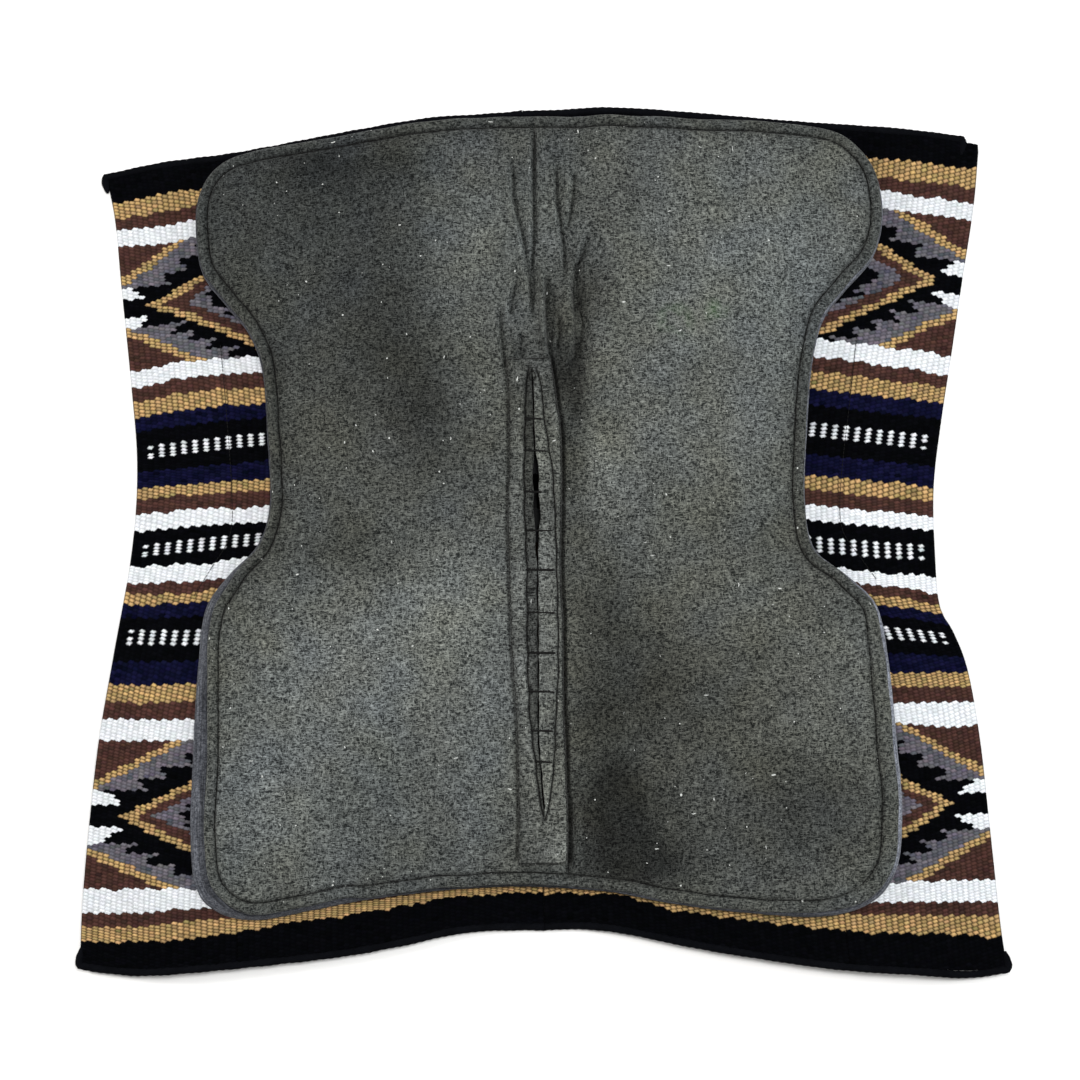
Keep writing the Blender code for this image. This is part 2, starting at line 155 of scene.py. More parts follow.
def place(points, off):
    """Plan position, mm, of what the camera sees at a frame position (0 to 1080)
    on the surface that lies off mm over the drape."""
    p = np.asarray(points, float)
    d = (((p[:, :1] - 540.0) * RIGHT + (540.0 - p[:, 1:]) * UP) / DIST + FWD)
    eye = TARGET - DIST * FWD
    z = np.full(len(p), 20.0)
    for _ in range(12):
        q = eye + d * ((z - eye[2]) / d[:, 2])[:, None]
        z = drape(q[:, 0], q[:, 1]) + off
    return q[:, :2]


# ------------------------------------------------------------------ plan tools
def spline(points, step, closed=False):
    """Catmull-Rom curve through the control points, about one point per step."""
    p = np.asarray(points, float)
    n = len(p)
    out = []
    for k in range(n if closed else n - 1):
        if closed:
            p0, p1, p2, p3 = (p[(k + m) % n] for m in (-1, 0, 1, 2))
        else:
            p1, p2 = p[k], p[k + 1]
            p0 = p[k - 1] if k else 2 * p1 - p2
            p3 = p[k + 2] if k + 2 < n else 2 * p2 - p1
        cuts = max(1, round(float(np.linalg.norm(p2 - p1)) / step))
        for m in range(cuts):
            t = m / cuts
            out.append((2 * p1 + (p2 - p0) * t
                        + (2 * p0 - 5 * p1 + 4 * p2 - p3) * t * t
                        + (3 * p1 - p0 - 3 * p2 + p3) * t ** 3) * 0.5)
    if not closed:
        out.append(p[-1])
    return np.array(out)


def even(line, step, closed=False):
    """The same polyline with evenly spaced points."""
    p = np.asarray(line, float)
    if closed:
        p = np.vstack([p, p[:1]])
    d = np.r_[0, np.cumsum(np.linalg.norm(np.diff(p, axis=0), axis=1))]
    n = max(2, round(d[-1] / step))
    t = np.linspace(0, d[-1], n + 1)
    if closed:
        t = t[:-1]
    return np.stack([np.interp(t, d, p[:, k]) for k in range(p.shape[1])], 1)


def tangents(line, closed=False):
    p = np.asarray(line, float)
    if closed:
        t = np.roll(p, -1, 0) - np.roll(p, 1, 0)
    else:
        t = np.gradient(p, axis=0)
    return t / np.linalg.norm(t, axis=1)[:, None]


def distance(x, y, line, closed=False):
    """Distance from points to a polyline, and how far along it, 0 to 1."""
    p = np.asarray(line, float)
    if closed:
        p = np.vstack([p, p[:1]])
    a, b = p[:-1], p[1:]
    ab = b - a
    length = np.linalg.norm(ab, axis=1)
    start = np.r_[0, np.cumsum(length)]
    shape = np.shape(x)
    q = np.stack([np.ravel(x), np.ravel(y)], 1)
    best, where = np.full(len(q), 1e9), np.zeros(len(q))
    for k0 in range(0, len(q), 4000):
        c = q[k0:k0 + 4000, None, :] - a
        t = np.clip((c * ab).sum(-1) / np.maximum(length ** 2, 1e-9), 0, 1)
        d = np.linalg.norm(c - t[..., None] * ab, axis=-1)
        m = d.argmin(1)
        r = np.arange(len(m))
        best[k0:k0 + 4000] = d[r, m]
        where[k0:k0 + 4000] = (start[m] + t[r, m] * length[m]) / start[-1]
    return best.reshape(shape), where.reshape(shape)


def inside(x, y, poly):
    p = np.asarray(poly, float)
    x, y = np.asarray(x, float), np.asarray(y, float)
    hit = np.zeros(x.shape, bool)
    for (x0, y0), (x1, y1) in zip(p, np.roll(p, -1, 0)):
        if y0 == y1:
            continue
        cross = ((y0 > y) != (y1 > y)) & (x < x0 + (x1 - x0) * (y - y0) / (y1 - y0))
        hit ^= cross
    return hit


def waves(x, y, size, seed):
    """Smooth irregular waves about 1 high, with features of the given size, mm."""
    r = np.random.default_rng(seed)
    out = np.zeros(np.broadcast(x, y).shape)
    for _ in range(6):
        a, p, f = r.uniform(0, 6.283), r.uniform(0, 6.283), r.uniform(0.55, 1.6)
        out = out + np.sin((np.asarray(x) * math.cos(a) + np.asarray(y) * math.sin(a))
                           * 6.283 * f / size + p)
    return out / 2.4


def steady(x, y):
    """Monotone cubic through the points: a function of x."""
    x, y = np.asarray(x, float), np.asarray(y, float)
    h = np.diff(x)
    d = np.diff(y) / h
    m = np.zeros(len(x))
    m[0], m[-1] = d[0], d[-1]
    for k in range(1, len(x) - 1):
        if d[k - 1] * d[k] > 0:
            w1, w2 = 2 * h[k] + h[k - 1], h[k] + 2 * h[k - 1]
            m[k] = (w1 + w2) / (w1 / d[k - 1] + w2 / d[k])

    def f(q):
        q = np.asarray(q, float)
        k = np.clip(np.searchsorted(x, q) - 1, 0, len(h) - 1)
        t = (q - x[k]) / h[k]
        mid = np.clip(t, 0, 1)
        v = (y[k] * (1 + 2 * mid) * (1 - mid) ** 2 + y[k + 1] * mid ** 2 * (3 - 2 * mid)
             + h[k] * (m[k] * mid * (1 - mid) ** 2 - m[k + 1] * mid ** 2 * (1 - mid)))
        return v + np.where(t < 0, t * h[k] * m[0], 0) + np.where(
            t > 1, (t - 1) * h[k] * m[-1], 0)
    return f


def rear_right(x, y):
    return sm((10.0 - y) / 120.0) * sm((x - SPINE_X - 200.0) / 80.0)


# ------------------------------------------------------------------ mesh tools
def make(name, verts, faces, smooth=None, rest=True):
    """A mesh object from points in mm."""
    mesh = bpy.data.meshes.new(name)
    mesh.from_pydata((np.asarray(verts, float) * MM).tolist(), [], faces)
    mesh.update()
    flags = np.ones(len(mesh.polygons), bool) if smooth is None else smooth
    mesh.polygons.foreach_set("use_smooth", flags)
    if rest:
        keep(mesh)
    ob = bpy.data.objects.new(name, mesh)
    bpy.context.scene.collection.objects.link(ob)
    return ob


def keep(mesh):
    """Stores the resting shape, so that a texture stays with a piece that bends."""
    co = np.zeros(len(mesh.vertices) * 3, np.float32)
    mesh.vertices.foreach_get("co", co)
    a = mesh.attributes.new("rest", "FLOAT_VECTOR", "POINT")
    a.data.foreach_set("vector", co)


def points_value(ob, name, values):
    a = ob.data.attributes.new(name, "FLOAT", "POINT")
    a.data.foreach_set("value", np.asarray(values, np.float32))


def faces_value(ob, name, values):
    a = ob.data.attributes.new(name, "FLOAT", "FACE")
    a.data.foreach_set("value", np.asarray(values, np.float32))


def faces_colour(ob, name, rgb):
    a = ob.data.attributes.new(name, "FLOAT_COLOR", "FACE")
    a.data.foreach_set("color", np.c_[rgb, np.ones(len(rgb))].astype(np.float32).ravel())


def outward(ob):
    bm = bmesh.new()
    bm.from_mesh(ob.data)
    bmesh.ops.recalc_face_normals(bm, faces=bm.faces)
    if bm.calc_volume(signed=True) < 0:
        bmesh.ops.reverse_faces(bm, faces=bm.faces)
    bm.to_mesh(ob.data)
    bm.free()


def slab(name, top, back, ci, cj, rows=1):
    """A closed slab: a fine grid, and a coarse grid behind it at every grid line
    that ci and cj name. Returns the object and, for each face, its grid place."""
    nu, nv = top.shape[:2]
    bu, bv = len(ci), len(cj)
    t = np.arange(nu * nv).reshape(nu, nv)
    k = nu * nv + np.arange(bu * bv).reshape(bu, bv)
    quads = np.stack([t[:-1, :-1], t[1:, :-1], t[1:, 1:], t[:-1, 1:]], -1).reshape(-1, 4)
    behind = np.stack([k[:-1, :-1], k[:-1, 1:], k[1:, 1:], k[1:, :-1]],
                      -1).reshape(-1, 4)
    walls, spots = [], []
    for m in range(bu - 1):
        a, b = ci[m], ci[m + 1]
        walls.append(t[a:b + 1, 0][::-1].tolist() + [k[m, 0], k[m + 1, 0]])
        walls.append(t[a:b + 1, -1].tolist() + [k[m + 1, -1], k[m, -1]])
        spots += [((a + b) // 2, 0), ((a + b) // 2, nv - 2)]
    for m in range(bv - 1):
        a, b = cj[m], cj[m + 1]
        walls.append(t[-1, a:b + 1][::-1].tolist() + [k[-1, m], k[-1, m + 1]])
        walls.append(t[0, a:b + 1].tolist() + [k[0, m + 1], k[0, m]])
        spots += [(nu - 2, (a + b) // 2), (0, (a + b) // 2)]
    verts = np.concatenate([top.reshape(-1, 3), back.reshape(-1, 3)])
    every = [*quads.tolist(), *behind.tolist(), *walls]
    # which way the fine grid faces
    q = top[:-1, :-1], top[1:, :-1], top[1:, 1:]
    n = np.cross(q[1] - q[0], q[2] - q[0])[..., 2].sum()
    want = 1 if top[..., 2].mean() > back[..., 2].mean() else -1
    if n * want < 0:
        every = [f[::-1] for f in every]
    smooth = np.zeros(len(every), bool)
    smooth[:len(quads)] = True
    ob = make(name, verts, every, smooth)
    # places on the bake image: the fine grid in strips side by side
    gi, gj = np.meshgrid(np.arange(nu - 1), np.arange(nv - 1), indexing="ij")
    gi, gj = gi.ravel(), gj.ravel()
    per = math.ceil((nv - 1) / rows)
    seg = gj // per

    def on_image(i, j, s):
        return np.stack([(s + 0.01 + 0.98 * i / (nu - 1)) / rows,
                         0.05 + 0.94 * (j - s * per) / per], -1)
    uv = np.stack([on_image(gi, gj, seg), on_image(gi + 1, gj, seg),
                   on_image(gi + 1, gj + 1, seg), on_image(gi, gj + 1, seg)], 1)
    hi, hj = np.meshgrid(np.arange(bu - 1), np.arange(bv - 1), indexing="ij")
    hi, hj = hi.ravel() / (bu - 1), hj.ravel() / (bv - 1)
    di, dj = 1 / (bu - 1), 1 / (bv - 1)
    ub = np.stack([np.stack([hj, 0.022 + 0.02 * hi], -1),
                   np.stack([hj + dj, 0.022 + 0.02 * hi], -1),
                   np.stack([hj + dj, 0.022 + 0.02 * (hi + di)], -1),
                   np.stack([hj, 0.022 + 0.02 * (hi + di)], -1)], 1)
    loops = []
    for m, w in enumerate(walls):
        c = (m + 0.5) / len(walls)
        e = 0.4 / len(walls)
        z = len(w) - 2
        loops += [(c - e + 2 * e * g / max(1, z - 1), 0.015) for g in range(z)]
        loops += [(c + e, 0.004), (c - e, 0.004)]
    if n * want < 0:
        uv, ub = uv[:, ::-1], ub[:, ::-1]
        flipped, at = [], 0
        for w in walls:
            flipped += loops[at:at + len(w)][::-1]
            at += len(w)
        loops = flipped
    layer = ob.data.uv_layers.new(name="OFBake")
    flat = np.concatenate([uv.reshape(-1, 2), ub.reshape(-1, 2), np.array(loops)])
    layer.data.foreach_set("uv", flat.astype(np.float32).ravel())
    bi = np.asarray(ci)[:-1][np.arange(len(behind)) // (bv - 1)]
    bj = np.asarray(cj)[:-1][np.arange(len(behind)) % (bv - 1)]
    spots = np.array(spots)
    grid = np.stack([np.r_[gi, bi, spots[:, 0]], np.r_[gj, bj, spots[:, 1]]], 1)
    return ob, grid, len(quads)


def tube(path, radius, sides=8, ends=0.6):
    """A closed round tube along a path, mm. radius is a number or one per point
    and side. The ends are drawn in to rounded tips."""
    p = np.asarray(path, float)
    n = len(p)
    t = np.gradient(p, axis=0)
    t /= np.linalg.norm(t, axis=1)[:, None]
    ref = np.array([0.0, 0.0, 1.0])
    side = np.cross(t, ref)
    weak = np.linalg.norm(side, axis=1) < 0.25
    for k in range(n):
        if weak[k]:
            side[k] = side[k - 1] if k else np.array([1.0, 0, 0])
        side[k] -= t[k] * (side[k] @ t[k])
        side[k] /= np.linalg.norm(side[k])
    over = np.cross(side, t)
    a = np.arange(sides) * 2 * math.pi / sides
    r = np.broadcast_to(np.asarray(radius, float).reshape(
        (-1, 1) if np.ndim(radius) == 1 else np.shape(radius) or (1, 1)), (n, sides))
    ring = (p[:, None] + r[..., None] * (np.cos(a)[None, :, None] * side[:, None]
                                         + np.sin(a)[None, :, None] * over[:, None]))
    tips = np.array([p[0] - t[0] * r[0].mean() * ends, p[-1] + t[-1] * r[-1].mean() * ends])
    verts = np.concatenate([ring.reshape(-1, 3), tips])
    k = np.arange(n * sides).reshape(n, sides)
    nxt = np.roll(k, -1, 1)
    faces = np.stack([k[:-1], nxt[:-1], nxt[1:], k[1:]], -1).reshape(-1, 4).tolist()
    faces += [[int(nxt[0, s]), int(k[0, s]), n * sides] for s in range(sides)]
    faces += [[int(k[-1, s]), int(nxt[-1, s]), n * sides + 1] for s in range(sides)]
    return verts, faces


def gather(parts):
    verts, faces, at = [], [], 0
    for v, f in parts:
        verts.append(v)
        faces += [[i + at for i in g] for g in f]
        at += len(v)
    return np.concatenate(verts), faces


def stitches(line, lift, length=4.0, pitch=5.2, r=0.42, sink=0.5, seed=3, slant=0.0):
    """Single stitches along a plan line; lift gives the height of the cloth."""
    rnd = np.random.default_rng(seed)
    p = np.asarray(line, float)
    d = np.r_[0, np.cumsum(np.linalg.norm(np.diff(p, axis=0), axis=1))]
    parts = []
    for m in range(int(d[-1] / pitch)):
        c = (m + 0.5) * pitch + rnd.uniform(-0.25, 0.25)
        half = length / 2 * rnd.uniform(0.9, 1.08)
        s = c + np.array([-1, -0.82, -0.35, 0.35, 0.82, 1]) * half
        x, y = np.interp(s, d, p[:, 0]), np.interp(s, d, p[:, 1])
        tx, ty = x[-1] - x[0], y[-1] - y[0]
        n = math.hypot(tx, ty) or 1.0
        w = (slant + rnd.uniform(-0.12, 0.12)) * np.linspace(-1, 1, 6)
        x, y = x - ty / n * w, y + tx / n * w
        z = lift(x, y) + np.array([-sink, 0.1, 0.34, 0.34, 0.1, -sink])
        parts.append(tube(np.stack([x, y, z], 1), r, 6))
    return gather(parts)


# ------------------------------------------------------------------ shader tools
class Look:
    """A procedural material, built on its Principled shader."""

    def __init__(self, name, rough=0.9, sheen=0.0, spec=0.35):
        self.m = bpy.data.materials.new(name)
        self.m.use_nodes = True
        self.n, self.l = self.m.node_tree.nodes, self.m.node_tree.links
        self.b = self.n["Principled BSDF"]
        self.b.inputs["Roughness"].default_value = rough
        self.b.inputs["Specular IOR Level"].default_value = spec
        self.b.inputs["Sheen Weight"].default_value = sheen
        self.b.inputs["Sheen Roughness"].default_value = 0.5
        self.rest = self.attr("rest", "Vector")

    def plug(self, socket, value):
        if isinstance(value, bpy.types.NodeSocket):
            self.l.new(value, socket)
        elif value is not None:
            if isinstance(value, (tuple, list)) and len(value) == 3 and \
                    len(socket.default_value) == 4:
                value = (*value, 1.0)
            socket.default_value = value

    def attr(self, name, out="Fac"):
        a = self.n.new("ShaderNodeAttribute")
        a.attribute_type = "GEOMETRY"
        a.attribute_name = name
        return a.outputs[out]

    def scaled(self, scale, turn=(0, 0, 0), source=None):
        m = self.n.new("ShaderNodeMapping")
        self.plug(m.inputs["Vector"], source or self.rest)
        m.inputs["Scale"].default_value = scale
        m.inputs["Rotation"].default_value = turn
        return m.outputs[0]

    def noise(self, scale, detail=2.0, rough=0.5, vector=None, distort=0.0, out=0):
        t = self.n.new("ShaderNodeTexNoise")
        self.plug(t.inputs["Vector"], vector or self.rest)
        t.inputs["Scale"].default_value = scale
        t.inputs["Detail"].default_value = detail
        t.inputs["Roughness"].default_value = rough
        t.inputs["Distortion"].default_value = distort
        return t.outputs[out]

    def cells(self, scale, feature="F1", vector=None, out="Distance"):
        t = self.n.new("ShaderNodeTexVoronoi")
        t.feature = feature
        self.plug(t.inputs["Vector"], vector or self.rest)
        t.inputs["Scale"].default_value = scale
        return t.outputs[out]

    def math(self, op, a, b=None, c=None):
        t = self.n.new("ShaderNodeMath")
        t.operation = op
        for socket, value in zip(t.inputs, (a, b, c)):
            self.plug(socket, value)
        return t.outputs[0]

    def span(self, value, lo, hi, to_lo=0.0, to_hi=1.0, kind="LINEAR"):
        t = self.n.new("ShaderNodeMapRange")
        t.interpolation_type = kind
        for socket, v in zip(t.inputs, (value, lo, hi, to_lo, to_hi)):
            self.plug(socket, v)
        return t.outputs[0]

    def mix(self, fac, a, b, kind="MIX"):
        t = self.n.new("ShaderNodeMix")
        t.data_type = "RGBA"
        t.blend_type = kind
        self.plug(t.inputs[0], fac)
        self.plug(t.inputs[6], a)
        self.plug(t.inputs[7], b)
        return t.outputs[2]

    def dim(self, colour, value):
        """Colour times a varying number."""
        t = self.n.new("ShaderNodeVectorMath")
        t.operation = "SCALE"
        self.plug(t.inputs[0], colour)
        self.plug(t.inputs["Scale"], value)
        return t.outputs[0]

    def near(self, point, radius):
        """1 at a point of the rest shape (mm), falling to 0 at the radius."""
        t = self.n.new("ShaderNodeVectorMath")
        t.operation = "DISTANCE"
        self.plug(t.inputs[0], self.rest)
        t.inputs[1].default_value = [v * MM for v in point]
        return self.span(t.outputs["Value"], 0.0, radius * MM, 1.0, 0.0, "SMOOTHSTEP")

    def bump(self, height, strength, distance, before=None):
        t = self.n.new("ShaderNodeBump")
        t.inputs["Strength"].default_value = strength
        t.inputs["Distance"].default_value = distance * MM
        self.plug(t.inputs["Height"], height)
        if before is not None:
            self.plug(t.inputs["Normal"], before)
        return t.outputs[0]

    def done(self, colour, normal=None, rough=None):
        self.plug(self.b.inputs["Base Color"], colour)
        if normal is not None:
            self.plug(self.b.inputs["Normal"], normal)
        if rough is not None:
            self.plug(self.b.inputs["Roughness"], rough)
        return self.m


def woven_look():
    k = Look("woven_wool", 0.95, 0.0, 0.03)
    fine = k.noise(1.0, 3.0, 0.6, k.scaled((420, 1900, 1100)))
    soft = k.noise(140.0, 2.0, 0.5)
    shade = k.math("MULTIPLY", k.span(fine, 0.3, 0.7, 0.74, 1.20),
                   k.span(soft, 0.3, 0.7, 0.92, 1.07))
    # painted shade in the gaps between beads: cav is the bead's height, 0 down in a gap, and
    # deep says how dark each colour's gaps are painted
    low = k.math("SUBTRACT", 1.0, k.attr("cav"))
    dark = k.math("SUBTRACT", 1.0, k.math("MULTIPLY", low, k.attr("deep")))
    colour = k.dim(k.attr("col", "Color"), k.math("MULTIPLY", shade, dark))
    return k.done(colour, k.bump(fine, 0.35, 0.5))


def felt_look(name, dark, light, olive, lint=True, stain=False, ridges=False):
    k = Look(name, 0.95, 0.06, 0.06)
    a = k.noise(330.0, 3.0, 0.7, distort=0.6)
    b = k.noise(820.0, 2.0, 0.6)
    c = k.noise(1.0, 2.0, 0.5, k.scaled((230, 930, 500), (0, 0, 0.65)), 0.4)
    d = k.noise(1.0, 2.0, 0.5, k.scaled((880, 215, 500), (0, 0, 0.35)), 0.4)
    e = k.noise(1.0, 1.0, 0.5, k.scaled((210, 860, 500), (0, 0, -0.7)), 0.4)
    strand = k.math("MAXIMUM", c, k.math("MAXIMUM", d, e))
    blend = k.math("ADD", k.math("MULTIPLY", a, 0.34), k.math("MULTIPLY", b, 0.14))
    blend = k.math("ADD", blend, k.math("MULTIPLY", strand, 0.52))
    grain = k.span(blend, 0.481, 0.664)
    colour = k.mix(grain, dark, light)
    if stain:
        tint = k.mix(k.span(k.attr("warm"), -1.0, 1.0), (0.965, 1.0, 1.065),
                     (1.030, 1.0, 0.930))
        colour = k.mix(1.0, colour, tint, "MULTIPLY")
    patch = k.noise(14.0, 3.0, 0.55)
    colour = k.mix(k.span(patch, 0.35, 0.68, 0.0, 0.75), colour,
                   k.mix(1.0, colour, olive, "MULTIPLY"))
    cloud = k.span(k.noise(34.0, 3.0, 0.6), 0.3, 0.7, 0.88, 1.10)
    # the tone attribute holds wear as well as painted light and shade
    colour = k.dim(colour, k.math("MULTIPLY", cloud, k.attr("tone")))
    if stain:
        rough = k.noise(55.0, 3.0, 0.6)
        for at, radius in (((137, 212, 66), 27), ((180, 222, 62), 20)):
            spot = k.math("MULTIPLY", k.near(at, radius), k.span(rough, 0.4, 0.62))
            colour = k.mix(k.math("MULTIPLY", spot, 0.55), colour,
                           (0.055, 0.125, 0.045))
    if ridges:
        along = k.noise(1.0, 1.0, 0.4, k.scaled((1, 1, 1), source=k.attr("across", "Vector")))
        colour = k.dim(colour, k.span(along, 0.35, 0.65, 0.62, 1.3))
    if lint:
        bent = k.n.new("ShaderNodeVectorMath")
        bent.operation = "MULTIPLY_ADD"
        k.plug(bent.inputs[0], k.noise(210.0, 1.0, 0.5, out=1))
        bent.inputs[1].default_value = (0.0035, 0.0035, 0.0035)
        k.plug(bent.inputs[2], k.rest)
        hair = [k.scaled(v, (0, 0, a_), bent.outputs[0]) for v, a_ in
                (((28, 118, 40), 0.5), ((110, 26, 40), 0.2))]
        for scale, thin, share, where_ in (
                (62.0, 0.042, 0.64, bent.outputs[0]), (105.0, 0.044, 0.70, bent.outputs[0]),
                (1.0, 0.050, 0.88, hair[0]), (1.0, 0.048, 0.90, hair[1])):
            near = k.cells(scale, "F1", where_)
            pick = k.cells(scale, "F1", where_, "Color")
            part = k.n.new("ShaderNodeSeparateColor")
            k.plug(part.inputs[0], pick)
            chosen = k.span(part.outputs[0], share, share + 0.01)
            fleck = k.math("MULTIPLY", k.span(near, thin, thin * 1.5, 1.0, 0.0), chosen)
            colour = k.mix(k.math("MULTIPLY", fleck, 0.85), colour, (0.62, 0.64, 0.62))
    fuzz = k.bump(blend, 0.9, 0.9)
    fuzz = k.bump(b, 0.5, 0.4, fuzz)
    return k.done(colour, fuzz)


def cord_look():
    k = Look("end_cord", 0.95, 0.0, 0.03)
    a = k.noise(700.0, 2.0, 0.6)
    colour = k.dim(k.mix(a, (0.0010, 0.0011, 0.0016), (0.0042, 0.0046, 0.0064)),
                   k.span(k.noise(60.0, 2.0), 0.3, 0.7, 0.8, 1.3))
    return k.done(colour, k.bump(a, 0.6, 0.5))


def thread_look():
    k = Look("thread", 0.7, 0.0, 0.12)
    a = k.noise(900.0, 2.0, 0.6)
    colour = k.mix(a, (0.0015, 0.0015, 0.0016), (0.009, 0.009, 0.0085))
    return k.done(colour, k.bump(a, 0.5, 0.15))


def leather_look():
    k = Look("wear_leather", 0.6, 0.0, 0.2)
    grain = k.cells(420.0, "DISTANCE_TO_EDGE")
    big = k.noise(18.0, 4.0, 0.6)
    colour = k.mix(k.span(big, 0.3, 0.7), (0.042, 0.017, 0.008), (0.105, 0.043, 0.018))
    colour = k.dim(colour, k.span(grain, 0.0, 0.25, 0.72, 1.08))
    rough = k.span(k.noise(40.0, 3.0, 0.6), 0.3, 0.7, 0.52, 0.74)
    n = k.bump(k.span(grain, 0.0, 0.3), 0.35, 0.25)
    return k.done(colour, k.bump(k.noise(160.0, 3.0, 0.6), 0.2, 0.4, n), rough)


WOVEN = woven_look()
FELT = felt_look("felt_liner", (0.0092, 0.0106, 0.0108), (0.169, 0.181, 0.1755),
                 (0.99, 0.97, 0.86), stain=True)
FELT_DARK = felt_look("felt_strip", (0.0092, 0.0106, 0.0105), (0.168, 0.179, 0.1735),
                      (0.99, 0.97, 0.86))
CORE = felt_look("felt_core", (0.055, 0.060, 0.075), (0.235, 0.250, 0.285),
                 (1.0, 1.0, 1.0), lint=False, ridges=True)
CORD = cord_look()
THREAD = thread_look()
HIDE = leather_look()


def finish(ob, look, side=0, body=None):
    """Material, and what the piece rides on."""
    ob.data.materials.clear()
    ob.data.materials.append(look)
    if side < 0:
        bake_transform(ob)
    elif side > 0:
        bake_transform(ob)
    else:
        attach(ob, body or "spine")
    return ob


# ------------------------------------------------------------------ the weave
BEADS, V0, V1 = 236, 6.8, 811.7
BEAD = (V1 - V0) / BEADS
COL, COLS, STRIP_COLS = 5.7, 79, 27
BLACK, GOLD, BROWN, WHITE, NAVY, GREY, WHITE_BEAD = range(7)
PAINT = np.array([(0.0011, 0.0013, 0.0021), (0.500, 0.330, 0.146),
                  (0.068, 0.032, 0.026), (0.755, 0.785, 0.825),
                  (0.0042, 0.0048, 0.023), (0.128, 0.122, 0.145), (0.77, 0.80, 0.84)])
# how dark each colour is painted in the gaps between its beads: painted shade
BEAD_GAP_SHADE = np.array([0.45, 0.98, 0.62, 0.42, 0.55, 0.6, 1.0])
EDGES = np.array([0, 31.5, 47.5, 60, 77.5, 208, 225.5, 239, 254.5, 268.5, 313, 333,
                  345, 361, 376, 414, 433.5, 443.5, 454, 466, 503.5, 522.5, 540,
                  555.5, 577.5, 729.5, 752.5, 765, 782.5, 818.5])
DIAMOND, BEADED = 10, 11
BANDS = [BLACK, GOLD, BROWN, WHITE, DIAMOND, WHITE, BROWN, GOLD, NAVY, BEADED, NAVY,
         GOLD, BROWN, WHITE, BEADED, WHITE, BROWN, GOLD, NAVY, BEADED, NAVY, GOLD,
         BROWN, WHITE, DIAMOND, WHITE, BROWN, GOLD, BLACK]

# Where each stripe's edge crosses the overhang: frame positions, outermost first
STRIPES = {
    -1: {
        31.5: [(114, 204), (137, 199), (180, 190), (199, 189)],
        47.5: [(116, 219), (155, 213.5), (196, 205)],
        60.0: [(116, 229), (146, 227), (193, 219)],
        77.5: [(119, 246), (153, 245), (193, 237)],
        208.0: [(128, 371), (207, 359), (262, 355)],
        225.5: [(129, 388), (207, 375), (262, 371)],
        254.5: [(132, 418.5), (185, 409), (263, 403)],
        290.8: [(142, 455), (200, 447), (254, 441)],
        333.0: [(134.5, 488), (200, 483), (268.5, 478)],
        361.0: [(134.5, 515), (207, 508), (268, 506)],
        376.0: [(133, 532), (207, 525.5), (267, 522)],
        395.0: [(140, 552), (200, 543), (258, 538)],
        414.0: [(128, 567), (204, 563), (241, 558)],
        433.5: [(126, 583), (172, 582), (217, 578)],
        443.5: [(124, 592), (175, 594), (210, 589)],
        454.0: [(121.5, 604), (151, 605.5), (205, 601)],
        484.8: [(114, 637), (134, 637), (186, 638)],
        522.5: [(108, 684), (175, 684), (200, 683)],
        540.0: [(104, 702), (190, 702)],
        555.5: [(100, 719.4), (190, 719.4)],
        577.5: [(98, 740.7), (190, 740.7)],
        729.5: [(84, 889), (150, 889), (197, 888)],
        752.5: [(81, 912), (105, 913), (152, 912), (208, 907)],
        765.0: [(81, 927), (138, 927), (199, 920), (226, 918)],
        782.5: [(80, 940), (134, 942), (178, 941), (226, 934), (282, 924), (328, 918),
                (380, 910), (423, 901.5), (482, 894.5)]},
    1: {
        31.5: [(978, 168), (961, 167.5), (920, 161), (872, 157)],
        47.5: [(975, 188), (920, 182), (882, 177)],
        60.0: [(973, 202.5), (920, 196), (883, 189)],
        77.5: [(971, 220), (915, 212.5), (884, 208)],
        208.0: [(951, 355.5), (880, 346), (817, 338)],
        225.5: [(949, 375), (880, 365), (815, 356)],
        239.0: [(947, 387), (880, 379), (812, 370)],
        254.5: [(944, 402), (880, 396), (811, 388)],
        290.8: [(929, 444), (880, 438), (812, 430.5)],
        333.0: [(935, 487), (880, 481), (807, 474)],
        345.0: [(934, 501), (806, 489)],
        361.0: [(933, 517), (880, 511), (805, 504)],
        376.0: [(932, 530), (806, 520)],
        395.0: [(926, 551.5), (880, 548), (817, 544)],
        414.0: [(937, 575), (924, 576), (842, 568)],
        433.5: [(939, 594), (858, 582)],
        443.5: [(941, 605), (870, 594)],
        454.0: [(941, 614), (873, 604)],
        484.8: [(946, 638.5), (885, 632.5)],
        522.5: [(967.5, 672), (889, 673)],
        540.0: [(971, 687), (891, 687)],
        555.5: [(975, 702), (893, 703)],
        577.5: [(978, 725), (952, 727.5), (894, 723)],
        729.5: [(995, 880), (940, 881), (891, 882)],
        752.5: [(997, 901), (874, 902)],
        765.0: [(1001, 915.5), (946, 915.5), (858, 914)],
        782.5: [(1002, 938), (946, 934), (891, 934), (835, 930), (780, 924),
                (720, 917), (668, 909), (619, 895), (575, 893.6)]}}


